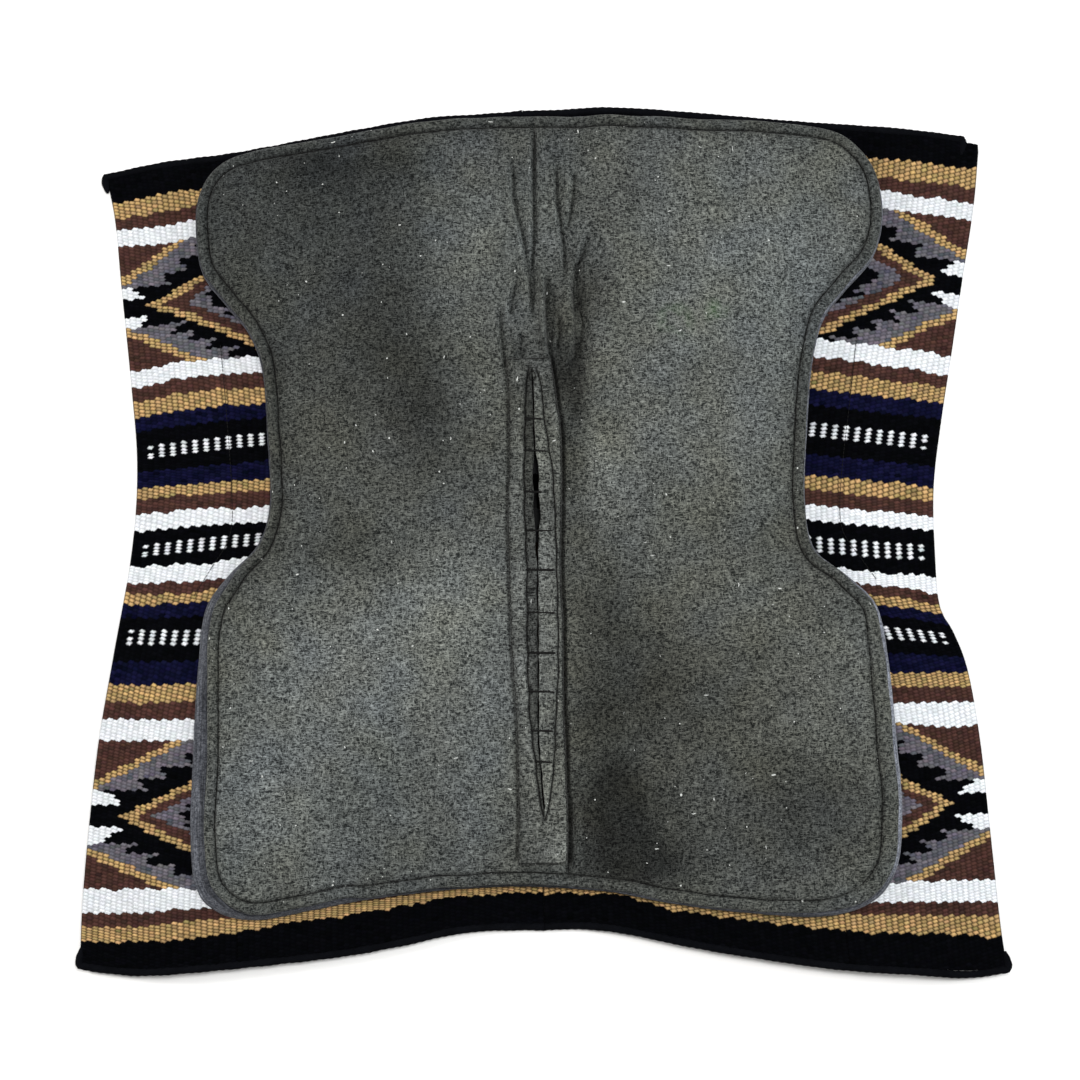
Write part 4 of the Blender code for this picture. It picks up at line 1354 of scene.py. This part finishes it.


# Soft tone over the felt, painted lighter or darker: partly wear, damp and dust, partly
# painted light and shade where its slopes and hollows face toward or away from the light:
# plan place, spread across and along, amount
TONES = [(-75, 280, 38, 110, .42), (190, 260, 120, 120, .34), (-190, 260, 100, 130, -.26),
         (-130, 150, 50, 70, -.22), (-190, -110, 160, 110, .42), (-70, -160, 45, 130, .30),
         (-95, -20, 60, 45, .18), (55, -150, 42, 120, -.34), (75, -290, 70, 60, -.48),
         (30, 90, 24, 90, -.40), (40, 270, 34, 60, -.22), (-25, 270, 26, 60, -.10),
         (70, 60, 28, 60, .20), (270, -120, 80, 90, -.04), (-300, 330, 60, 60, -.16),
         (-215, -300, 100, 60, -.06), (170, -330, 100, 40, -.10), (120, 150, 70, 60, .10),
         (-215, -130, 110, 75, .55), (-100, -60, 55, 50, .46), (-62, 140, 26, 50, .22),
         (58, 208, 26, 40, .24), (60, 60, 22, 50, .48), (62, -270, 30, 50, -.30),
         (-280, -270, 75, 85, 1.0), (-150, -290, 50, 40, .22), (-200, -5, 50, 26, -.34),
         (-100, 130, 36, 80, -.28), (-155, 230, 50, 90, -.20), (-170, 385, 110, 28, -.34),
         (15, 172, 20, 34, -.36), (60, 250, 24, 40, -.24), (140, -160, 75, 75, -.36),
         (250, -285, 90, 65, -.44), (105, -140, 32, 60, -.16), (220, -10, 50, 25, -.18),
         (100, 350, 35, 35, -.16), (-62, -250, 36, 60, .24), (0, 310, 50, 60, .24),
         (80, -325, 50, 25, -.55), (60, -250, 24, 30, -.20), (60, -70, 26, 50, -.22),
         (-225, 392, 40, 26, -.26), (-200, 345, 130, 40, -.20), (60, 230, 22, 26, -.18),
         (310, -95, 40, 50, -.18), (240, -250, 50, 40, -.14), (-22, 192, 16, 18, -.30),
         (27, 160, 14, 56, -.34), (36, 200, 13, 40, -.28), (160, 90, 80, 60, .20),
         (150, 290, 60, 60, .12), (160, -80, 50, 50, .08), (-120, 110, 40, 40, -.10),
         (-190, -200, 110, 70, .12), (-150, -20, 60, 35, -.16), (258, -205, 26, 30, .18),
         (300, -130, 26, 30, .20), (268, -15, 24, 26, -.14), (268, 130, 22, 40, -.10),
         (-262, 190, 26, 26, -.20), (140, 268, 18, 20, -.30), (140, 150, 20, 22, -.22),
         (85, 310, 30, 30, -.14), (42, -172, 30, 24, -.24), (-60, 320, 26, 70, .14),
         (20, 385, 22, 30, -.26), (20, 268, 16, 20, -.22)]

# Where the felt is browner (above 0) or bluer (below 0), given in the same way
WARMS = [(160, -170, 170, 130, .8), (-190, 110, 120, 70, .5), (-210, 350, 140, 90, -.8),
         (-190, -250, 140, 90, -.6), (260, 240, 70, 90, -.9), (120, 90, 90, 60, .25),
         (40, 200, 26, 70, .9), (10, 330, 40, 60, -.5), (-40, -100, 60, 120, -.3)]


def warmth(x, y):
    out = 0.35 * waves(x, y, 70, 41)
    for cx, cy, rx, ry, amount in WARMS:
        out = out + amount * np.exp(-((x - cx) / rx) ** 2 - ((y - cy) / ry) ** 2)
    return np.clip(out, -1, 1)


def tone(x, y):
    out = np.ones(np.shape(x))
    for cx, cy, rx, ry, amount in TONES:
        out = out + amount * np.exp(-((x - cx) / rx) ** 2 - ((y - cy) / ry) ** 2)
    # painted light: the whole felt is lighter towards the right and darker towards the left,
    # as if lit from the right
    return np.clip(out * (1.0 + 0.00078 * x), 0.25, 2.4)


def in_creases(x, y):
    beside = np.minimum(np.abs(x - strip_left(y) + 0.5), np.abs(x - strip_right(y) - 0.8))
    return ((np.abs(x - 2) < 68) & (y > 172) & (y < 414)) | (
        (beside < 6) & (y > -340) & (y < 184))


for side in (-1, 1):
    tag = "left" if side < 0 else "right"
    base, n_in = felt_outline(side)
    bx, by = base[:, 0], base[:, 1]
    run = np.arange(len(base)) * 4.0
    calm = sm(np.minimum(run, run[-1] - run) / 40.0)
    rl = lobe_left(bx, by) if side < 0 else 0 * bx
    rr = rear_right(bx, by) if side > 0 else 0 * bx

    # liner
    inset = LIP_INSET + (LIP_INSET_REAR - LIP_INSET) * rl
    rim = base + n_in * (inset + calm * 0.45 * waves(run, 0 * run, 70, 12 + side))[:, None]
    puff = 1 + calm * (0.22 * waves(run, 0 * run, 34, 14 + side)
                       + 0.12 * waves(run, 0 * run, 12, 15 + side))
    scale = rim_scale(bx, by)
    dd = RIM[:, 0][None, :] * scale[:, None]
    zz = RIM[:, 1][None, :] + 0 * dd
    groove = calm[:, None] * 0.35 * waves(run, 0 * run, 9, 16)[:, None] * np.exp(
        -((dd / scale[:, None] - 11.4) / 1.6) ** 2)
    crown = (zz - 24.0).clip(0) * (puff[:, None] - 1)
    px = rim[:, None, 0] + n_in[:, None, 0] * dd
    py = rim[:, None, 1] + n_in[:, None, 1] * dd
    extra = (bulging(px, py) + creased(px, py)) * fade_rim(dd) * (zz > 22)
    zz = drape(px, py) + zz + groove + crown + extra

    def depth(x, y, line=rim):
        d, _ = distance(x, y, line)
        return d

    def top(x, y, depth=depth):
        return liner_top(x, y, depth(x, y))
    y_front = float(py[0, -1])
    y_rear = float(py[-1, -1])
    path = seam_path(side, y_front, y_rear)
    inner_edge = np.stack([px[:, -1], py[:, -1]], 1)
    loop = np.vstack([inner_edge, path[::-1]])
    coarse = grid_points(loop, 5.2, 2.4, in_creases)
    finer = grid_points(loop, 2.05, 1.1, lambda x, y: ~in_creases(x, y))
    liner, ring_n = felt_piece("felt_liner_face_" + tag, side, rim, n_in, dd, zz, top, L0,
                               np.vstack([coarse, finer]), path=path)
    co = np.array([v.co[:] for v in liner.data.vertices]) / MM
    deep_in = depth(co[:, 0], co[:, 1]) / rim_scale(co[:, 0], co[:, 1])
    fade = 0.45 + 0.55 * sm((deep_in - 6) / 12)
    shade = tone(co[:, 0], co[:, 1]) * painted_crease_shade(co[:, 0], co[:, 1])
    # painted shade down in the stitch groove
    groove_ = 1 - 0.55 * np.exp(-((deep_in - 11.5) / 1.2) ** 2)
    # the rolled rim is darker, most of all round the front lobes and the waist
    groove_ = groove_ * (1 - 0.26 * np.exp(-((deep_in - 9) / 12) ** 2)
                         * sm((co[:, 1] + 110) / 80)
                         - 0.12 * np.exp(-((deep_in - 9) / 4.5) ** 2))
    points_value(liner, "tone", (1.0 + (shade - 1.0) * fade) * groove_)
    points_value(liner, "warm", warmth(co[:, 0], co[:, 1]))
    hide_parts("felt_liner_" + tag, "liner_rail_" + tag,
                "liner_front_web" if side < 0 else "liner_rear_web")

    # core: its side wall slopes out round the left rear lobe
    upright = np.array([(0.9, 6.35), (0.1, 7.0), (-0.2, 8.2), (-0.3, 9.6), (-0.3, 11.0),
                        (-0.25, 12.4), (-0.1, 13.8), (0.0, 15.2), (0.3, 16.4),
                        (0.8, 17.4), (1.7, 18.1), (5.0, 18.25)])
    sloped = np.array([(0.9, 6.35), (0.1, 6.9), (0.4, 8.0), (1.6, 9.6), (3.2, 11.3),
                       (5.0, 12.9), (7.2, 14.4), (9.6, 15.7), (12.0, 16.8), (14.2, 17.6),
                       (16.5, 18.15), (20.0, 18.25)])
    bulged = np.array([(0.9, 6.35), (-0.8, 7.0), (-2.0, 8.2), (-2.8, 9.6), (-3.1, 11.0),
                       (-3.0, 12.4), (-2.5, 13.8), (-1.8, 15.2), (-0.9, 16.4),
                       (0.2, 17.4), (1.7, 18.1), (5.0, 18.25)])
    prof = (upright[None] * (1 - rl - rr)[:, None, None] + sloped[None]
            * rl[:, None, None] + bulged[None] * rr[:, None, None])
    cd, cz = prof[..., 0].copy(), prof[..., 1]
    cd[:, 1:-1] += 0.22 * calm[:, None] * waves(run[:, None], np.arange(10)[None] * 23.0,
                                                30, 19)
    cx = base[:, None, 0] + n_in[:, None, 0] * cd
    cy = base[:, None, 1] + n_in[:, None, 1] * cd
    czz = drape(cx, cy) + cz
    cpath = seam_path(side, float(cy[0, -1]), float(cy[-1, -1]))
    cloop = np.vstack([np.stack([cx[:, -1], cy[:, -1]], 1), cpath[::-1]])
    core, core_n = felt_piece("felt_core_body_" + tag, side, base, n_in, cd, czz,
                              lambda x, y: drape(x, y) + 18.25, C0,
                              grid_points(cloop, 22.0, 9.0), path=cpath)
    count = len(core.data.vertices)
    across = np.zeros((count, 3))
    cum = np.r_[0, np.cumsum(np.hypot(np.diff(upright[:, 0]), np.diff(upright[:, 1])))]
    across[:core_n, 0] = np.tile(cum, len(base)) * 1.05
    across[:core_n, 1] = np.repeat(run, prof.shape[1]) * 0.02
    across[core_n:, 0] = cum[-1] * 1.05
    a = core.data.attributes.new("across", "FLOAT_VECTOR", "POINT")
    a.data.foreach_set("vector", across.astype(np.float32).ravel())
    cc_ = np.array([v.co[:] for v in core.data.vertices]) / MM
    # the core's tone is painted shade and light: almost black down under the slot, darker at
    # the rear centre, painted shade over the left wall, darkest at its top under the liner's
    # lip, and painted light on the right rear wall
    slot_ = sm((24 - np.abs(cc_[:, 0] + 7)) / 3) * sm((cc_[:, 1] + 272) / 4) * sm(
        (164 - cc_[:, 1]) / 4)
    low_ = sm((-330 - cc_[:, 1]) / 15) * sm((cc_[:, 0] + 190) / 110)
    up_ = cc_[:, 2] - drape(cc_[:, 0], cc_[:, 1])
    shade = 0.66 - 0.28 * sm((up_ - 13.5) / 4.0) if side < 0 else 1 + 0.55 * rear_right(
        cc_[:, 0] - 40, cc_[:, 1])
    points_value(core, "tone", (1 - 0.99 * slot_) * (1 - 0.5 * low_) * shade)
    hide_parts("felt_core_" + tag, "core_rail_" + tag,
                "core_front_web" if side < 0 else "core_rear_web")

    # rim stitches, down in the groove
    where = rim + n_in * (11.45 * scale)[:, None]
    where = where[1:-1]

    def in_groove(x, y, line=where):
        return drape(x, y) + 22.15
    v, f = stitches(where, in_groove, 4.1, 4.7, 0.48, 0.6, 40 + side)
    rims = make("rim_stitches_" + tag, v, f)
    outward(rims)
    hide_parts("rim_stitch_" + tag, "rim_stitch_front_" + tag,
                "rim_stitch_rear_" + tag)
    finish(liner, FELT, side)
    finish(core, CORE, side)
    finish(rims, THREAD, side)

# ------------------------------------------------------------------ spine strip
wl = spline(WINDOW_LEFT, 4.0)
wr = spline(WINDOW_RIGHT, 4.0)
slit = spline(SLIT, 4.0)


def between(y):
    """0 at a tack of the slot, 1 halfway between two."""
    near = np.min(np.abs(np.asarray(y, float)[..., None] - np.array(TACK_Y, float)), -1)
    return sm(near / 15.0) * sm((y + 250) / 20) * sm((140 - y) / 15)


# the lips swell between the tacks
wl[:, 0] -= 1.2 * between(wl[:, 1])
wr[:, 0] += 0.8 * between(wr[:, 1])
slit[:, 0] += 0.6 * waves(0 * slit[:, 1], slit[:, 1], 30, 64) * between(slit[:, 1])


def line_x(line, y):
    o = np.argsort(line[:, 1])
    return np.interp(y, line[o, 1], line[o, 0])


def strip_depth(y):
    return np.minimum(y + 341.0, 428.5 - y)


def strip_top(x, y):
    """Top of the felt strip round the slot, mm."""
    x, y = np.asarray(x, float), np.asarray(y, float)
    x0, x1 = strip_left(y), strip_right(y)
    rise = lambda d, r: np.sqrt(np.clip(1 - (1 - np.clip(d / r, 0, 1)) ** 2, 0, 1))
    d = np.minimum(rise(x - x0, 4.4), rise(x1 - x, 3.6))
    d = np.minimum(d, np.minimum(rise(STRIP_FRONT - y, 4.0), rise(y - STRIP_Y0, 3.0)))
    wx0, wx1 = line_x(wl, y), line_x(wr, y)
    along = sm((y + 283) / 6) * sm((173 - y) / 6)
    dl, dr = np.abs(x - wx0), np.abs(x - wx1)
    seam = -(2.2 * np.exp(-(dl / 1.2) ** 2) + 2.0 * np.exp(-(dr / 1.2) ** 2)) * along
    # the left band leans, its crest near the slot
    lean = np.clip((x - x0) / np.maximum(wx0 - x0, 1), 0, 1)
    crest = np.where(x < wx0, 0.9 * lean, 0.0)
    crest = np.where(x > wx1, 0.9 * np.clip((x - wx1) / np.maximum(x1 - wx1, 1), 0, 1),
                     crest)
    left_lip = ((x > wx0) & (x < line_x(slit, y))) * -0.5 * along
    right_lip = ((x < wx1) & (x >= line_x(slit, y))) * 0.7 * along
    puck = 0.22 * waves(x * 1.5, y, 22, 61) + 0.12 * waves(x, y, 9, 62)
    base = liner_top(x, y, strip_depth(y))
    # the base is even under the strip's width
    lift = 0.05 + 3.3 * d
    return base + lift + (seam + crest + left_lip + right_lip + puck) * sm(d * 1.4)


def strip_low(x, y):
    return liner_top(x, y, strip_depth(y)) + 0.02


def gape(y):
    t = sm((y + 32.0) / 60.0) * sm((98.0 - y) / 45.0)
    shut = 0.35
    ties = np.array(TACK_Y, float)
    near = np.min(np.abs(np.asarray(y)[..., None] - ties), -1)
    slack = 0.45 * sm(near / 14.0)
    return shut + slack + 2.6 * t * (0.75 + 0.25 * sm(near / 16.0))


def strip_tone(ob):
    """Darker in the seams and at the strip's edges, painted shade; the middle is lighter,
    and the bands and the right lip get painted highlights.
    """
    co = np.array([v.co[:] for v in ob.data.vertices]) / MM
    x, y = co[:, 0], co[:, 1]
    along = sm((y + 283) / 6) * sm((173 - y) / 6)
    a, b = x - line_x(wl, y), x - line_x(wr, y)
    out = 1.02 + 0.16 * sm((y + 40) / 120) + 0.16 * sm((60 - y) / 80)
    out = out + np.where(x < -7, 0.30 * sm((60 - y) / 90) - 0.34 * sm((-y - 235) / 40),
                         -0.05)
    out = out + 0.30 * np.where(x > -7, sm((-y - 225) / 30), 0)
    out = out * (1 - 0.25 * sm((y - 110) / 40)) * (0.94 + 0.12 * waves(x * 2, y, 60, 63))
    # painted shade down in the seams either side of the window
    out = out * (1 - 0.80 * np.exp(-(a / 1.0) ** 2) * along)
    out = out * (1 - 0.74 * np.exp(-(b / 1.0) ** 2) * along)
    # painted light: the left lip is in painted shade, the right one and the outer edge of the
    # band get painted highlights
    out = out * np.where((a > 0) & (x < line_x(slit, y)), 1 - 0.50 * along, 1)
    out = out * np.where((b < 0) & (x >= line_x(slit, y)), 1 + 0.30 * along, 1)
    out = out * np.where(b > 0, 1 + 0.16 * np.exp(
        -((x - strip_right(y) + 4) / 3.0) ** 2), 1)
    # a painted highlight across the middle of the left band; painted shade along the strip's
    # left edge and a painted shadow along its right edge
    across = (x - strip_left(y)) / np.maximum(line_x(wl, y) - strip_left(y), 1)
    out = out * np.where(a < 0, 1 + 0.16 * np.exp(-((across - 0.62) / 0.22) ** 2), 1)
    out = out * (1 - 0.46 * np.exp(-((x - strip_left(y)) / 3.6) ** 2))
    out = out * (1 - 0.85 * np.exp(-((x - strip_right(y)) / 1.0) ** 2))
    # painted shade along the strip's front edge
    front = 0.35 + 0.45 * sm((x + 16) / 5)
    out = out * (1 - front * np.exp(-((y - STRIP_FRONT + 0.8) / 1.3) ** 2))
    # the buttonhole end of the slot: painted shade in its eye and in a ring just outside its
    # stitches
    eye = np.hypot(x + 7.4, 0.72 * (y - 160.5))
    out = out * (1 - 0.75 * np.exp(-(eye / 1.5) ** 2))
    out = out * (1 - 0.45 * np.exp(-((eye - 4.3) / 0.8) ** 2))
    # painted shade along the strip's rear edge
    out = out * (1 - 0.35 * np.exp(-((y - STRIP_Y0) / 1.5) ** 2))
    # nothing is lit down in the slot
    deep = strip_top(x, y) - co[:, 2]
    near = np.abs(x - line_x(slit, y)) < 4.5
    return out * np.where(near, 1 - 0.96 * sm((deep - 0.7) / 2.4), 1)


def band(name, ys, xa, xb, us, top, low, nodes):
    """A strip of felt between two lines, sampled at the shares us across it."""
    ys, us = np.asarray(ys, float), np.asarray(us, float)
    y = np.broadcast_to(ys[None, :], (len(us), len(ys)))
    x = xa(ys)[None, :] * (1 - us[:, None]) + xb(ys)[None, :] * us[:, None]
    t = np.stack([x, y, top(x, y)], -1)
    ci = sorted(set(list(range(0, len(us), 3)) + [len(us) - 1]))
    cj = sorted(set(list(range(0, len(ys), 3)) + [len(ys) - 1]))
    b = np.stack([x, y, low(x, y)], -1)[np.ix_(ci, cj)]
    ob, _, _ = slab(name, t, b, ci, cj, 1)
    points_value(ob, "tone", strip_tone(ob))
    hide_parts(*nodes)
    return finish(ob, FELT_DARK)


edge_u = np.unique(np.r_[0, 0.015, 0.04, 0.075, 0.12, np.linspace(0.18, 0.82, 11), 0.88,
                         0.925, 0.96, 0.985, 1])
ym = np.linspace(-279, 169, 180)
band("spine_strip_felt_left", ym, strip_left, lambda y: line_x(wl, y), edge_u, strip_top,
     strip_low, ["spine_strip_left"])
band("spine_strip_felt_right", ym, lambda y: line_x(wr, y), strip_right, edge_u,
     strip_top, strip_low, ["spine_strip_right"])
full_u = np.unique(np.r_[edge_u * 0.3, 0.3 + np.linspace(0, 0.4, 14), 1 - edge_u * 0.3])
band("spine_strip_felt_front", np.linspace(169, STRIP_FRONT, 13), strip_left, strip_right,
     full_u, strip_top, strip_low, ["spine_strip_front"])
band("spine_strip_felt_rear", np.linspace(STRIP_Y0, -279, 22), strip_left, strip_right,
     full_u, strip_top, strip_low, ["spine_strip_rear"])


def lip(side):
    """A rolled lip of the slit: out over the felt and down into the slot."""
    tag = "left" if side < 0 else "right"
    ys = np.linspace(-279 + 0.5, 168.5, 240)
    outer = line_x(wl if side < 0 else wr, ys)
    mid = line_x(slit, ys) + side * np.where((ys > -268) & (ys < 160), gape(ys), 0.06)
    mid = np.where(side * (outer - mid) < 0.4, outer - side * 0.4, mid)
    wide = np.abs(outer - mid)
    us = np.array([0, 0.08, 0.18, 0.32, 0.48, 0.64, 0.78, 0.88, 0.95, 1.0])
    x = outer[None, :] * (1 - us[:, None]) + mid[None, :] * us[:, None]
    y = np.broadcast_to(ys[None, :], x.shape)
    z = strip_top(x, y)
    edge_d = (1 - us)[:, None] * wide[None, :]
    z = z - 1.5 * (1 - np.sqrt(np.clip(1 - (1 - np.clip(edge_d / 1.8, 0, 1)) ** 2, 0, 1)))
    # down into the slot
    down = np.array([1.2, 2.8, 4.4, 5.8])
    back_in = np.array([-0.05, 0.05, 0.35, 0.9])
    dx = mid[None, :] + side * back_in[:, None]
    dy = np.broadcast_to(ys[None, :], dx.shape)
    dz = z[-1][None, :] - down[:, None]
    top = np.stack([np.vstack([x, dx]), np.vstack([y, dy]), np.vstack([z, dz])], -1)
    # underside: a thin felt behind the visible face
    bx = np.vstack([x, dx])
    ux = bx.copy()
    uz = np.vstack([np.minimum(strip_low(x, y), z - 0.8), dz])
    n_us = len(us)
    ux[n_us - 3:n_us] += side * np.array([0.9, 1.4, 1.9])[:, None]
    ux[n_us:] += side * 2.0
    ux = np.where(side * (ux - outer[None, :]) > 0, outer[None, :], ux)
    uz[n_us:] = dz
    uz[n_us - 3:n_us] = np.minimum(uz[n_us - 3:n_us], z[n_us - 3:n_us] - 2.0)
    rear = np.stack([ux, np.broadcast_to(ys[None, :], ux.shape), uz], -1)
    ci = [0, 3, 6, 9, 11, 13]
    cj = list(range(0, 240, 4))
    if cj[-1] != 239:
        cj.append(239)
    ob, _, _ = slab("slot_lip_felt_" + tag, top, rear[np.ix_(ci, cj)], ci, cj, 1)
    points_value(ob, "tone", strip_tone(ob))
    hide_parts("slot_lip_" + tag)
    return finish(ob, FELT_DARK)


lip(-1)
lip(1)

# tacks across the lips
rnd = np.random.default_rng(8)
for k, ty in enumerate(TACK_Y):
    a, b = float(line_x(wl, ty)), float(line_x(wr, ty))
    a, b = a - 1.5, (b - 1.6 if k != 2 else a + 0.62 * (b - a))
    c, reach = (a + b) / 2, (b - a) / 2
    parts = []
    for m in range(3):
        xs = np.linspace(c - reach, c + reach, 15)
        sway = rnd.uniform(-0.35, 0.35)
        tilt = -1.6 + rnd.uniform(-0.5, 0.5)
        ys = ty + (m - 1) * 0.46 + sway + tilt * (xs - c) / (2 * reach)
        zs = strip_top(xs, ys) + 0.32
        # taut over the seams and the slit
        over = np.minimum(np.maximum.accumulate(zs), np.maximum.accumulate(zs[::-1])[::-1])
        zs = np.maximum(zs, over - 0.35)
        zs[0] -= 1.2
        zs[-1] -= 1.2
        parts.append(tube(np.stack([xs, ys, zs], 1), 0.44, 6))
    v, f = gather(parts)
    ob = make("slot_tack_thread_%02d" % (k + 1), v, f)
    outward(ob)
    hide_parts("slot_tack_%02d" % (k + 1))
    finish(ob, THREAD)

# stitching: round the strip, along both sides of the window, and the slot's ring
parts = []
inset_l = lambda y: strip_left(y) + 0.9
inset_r = lambda y: strip_right(y) - 1.4
ys = np.linspace(STRIP_Y0 + 3, STRIP_FRONT - 3, 130)
on_strip = lambda x, y: strip_top(x, y) - 0.1
parts.append(stitches(np.c_[inset_l(ys), ys], on_strip, 3.6, 4.6, 0.30, 0.5, 51))
parts.append(stitches(np.c_[inset_r(ys), ys], on_strip, 3.6, 4.6, 0.36, 0.5, 52))
for y_end in (STRIP_FRONT - 1.8, STRIP_Y0 + 1.8):
    xs = np.linspace(-31, 13, 24)
    parts.append(stitches(np.c_[xs, np.full(24, y_end)], on_strip, 3.6, 4.6, 0.36, 0.5, 53))
for line in (wl, wr):
    p = line[(line[:, 1] > -276) & (line[:, 1] < 166)]
    parts.append(stitches(p, on_strip, 3.4, 4.4, 0.34, 0.5, 54))
v, f = gather(parts)
ob = make("strip_stitches", v, f)
outward(ob)
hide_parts("strip_stitch")
finish(ob, THREAD)

a = np.linspace(0, 2 * math.pi, 25)[:-1]
ring = np.c_[-7.4 + 3.1 * np.cos(a), 160.5 + 4.4 * np.sin(a)]
v, f = stitches(np.vstack([ring, ring[:2]]), lambda x, y: strip_top(x, y) + 0.25, 1.8,
                1.9, 0.50, 0.4, 55)
ob = make("slot_end_stitches", v, f)
outward(ob)
finish(ob, THREAD)

# ------------------------------------------------------------------ wear leathers
for side in (-1, 1):
    tag = "left" if side < 0 else "right"
    hide = LEATHER_LEFT if side < 0 else LEATHER_RIGHT
    p = even(spline(hide, 6.0, True), 7.0, True)
    t = tangents(p, True)
    area = (p[:, 0] * np.roll(p[:, 1], -1) - np.roll(p[:, 0], -1) * p[:, 1]).sum()
    n = np.stack([-t[:, 1], t[:, 0]], 1) * np.sign(area)
    prof = np.array([(1.0, -2.55), (0.2, -2.2), (0.0, -1.5), (0.2, -0.8), (1.0, -0.40),
                     (7.0, -0.36)])
    dd = prof[:, 0][None] * np.ones((len(p), 1))
    px = p[:, None, 0] + n[:, None, 0] * dd
    py = p[:, None, 1] + n[:, None, 1] * dd
    zz = np.maximum(drape(px, py) + prof[:, 1][None], 0.03 + 0.12 * np.arange(6)[None])
    inner = np.stack([px[:, -1], py[:, -1]], 1)
    hide_ob, _ = felt_piece("wear_leather_face_" + tag, side, p, n, dd, zz,
                            lambda x, y: drape(x, y) - 0.36, -2.55,
                            grid_points(inner, 20.0, 8.0), 14.0)
    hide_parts("wear_leather_" + tag)
    finish(hide_ob, HIDE, side)
    # its stitching: below round the leather, and above where the felt leaves it bare
    low = lambda x, y: -(drape(x, y) - 2.62)
    line = p + n * 5.0
    v, f = stitches(np.vstack([line, line[:1]]), low, 4.2, 5.6, 0.42, 0.5, 60 + side)
    v[:, 2] *= -1
    seam = make("wear_leather_stitches_" + tag, v, f)
    outward(seam)
    v, f = stitches(spline(hide[:6], 5.0), lambda x, y: drape(x, y) + 5.9, 3.4, 4.2, 0.34,
                    0.5, 62 + side)
    seen = make("wear_leather_seam_" + tag, v, f)
    outward(seen)
    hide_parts("wear_leather_stitch_" + tag)
    finish(seam, THREAD, side)
    finish(seen, THREAD, side)

# ------------------------------------------------------------------ the cloth pieces, unpacked
for side in (-1, 1):
    show, edge, mid = cloths[side]

# ------------------------------------------------------------------ floor, light
k = Look("floor", 0.9, 0.0, 0.2)
k.b.inputs["Base Color"].default_value = (0.93, 0.93, 0.93, 1)
bpy.ops.mesh.primitive_plane_add(size=30.0, location=(0, 0, -0.0004))
floor = bpy.context.object
floor.name = "floor"
floor.data.materials.append(k.m)


def lamp(name, at, aim, size, watts, colour):
    data = bpy.data.lights.new(name, "AREA")
    data.shape = "SQUARE"
    data.size = size
    data.energy = watts
    data.color = colour
    ob = bpy.data.objects.new(name, data)
    bpy.context.scene.collection.objects.link(ob)
    ob.location = at
    ob.rotation_euler = (Vector(aim) - Vector(at)).to_track_quat("-Z", "Y").to_euler()
    return ob


lamp("key", (0.3, 0.1, 3.1), (0.0, 0.0, 0.0), 0.7, 54.0, (1.0, 0.99, 0.97))
lamp("side", (2.6, 0.3, 1.9), (0.0, 0.0, 0.0), 1.2, 38.0, (0.93, 0.97, 1.0))
lamp("left", (-2.6, 0.5, 1.6), (0.0, 0.0, 0.0), 0.6, 44.0, (1.0, 0.98, 0.96))
world = bpy.data.worlds.new("studio")
world.use_nodes = True
world.node_tree.nodes["Background"].inputs[0].default_value = (1.0, 0.99, 0.97, 1)
world.node_tree.nodes["Background"].inputs[1].default_value = 0.43
bpy.context.scene.world = world
bpy.context.scene.view_settings.view_transform = "Standard"
bpy.context.scene.view_settings.look = "None"

# ------------------------------------------------------------------ finish
bpy.context.view_layer.update()
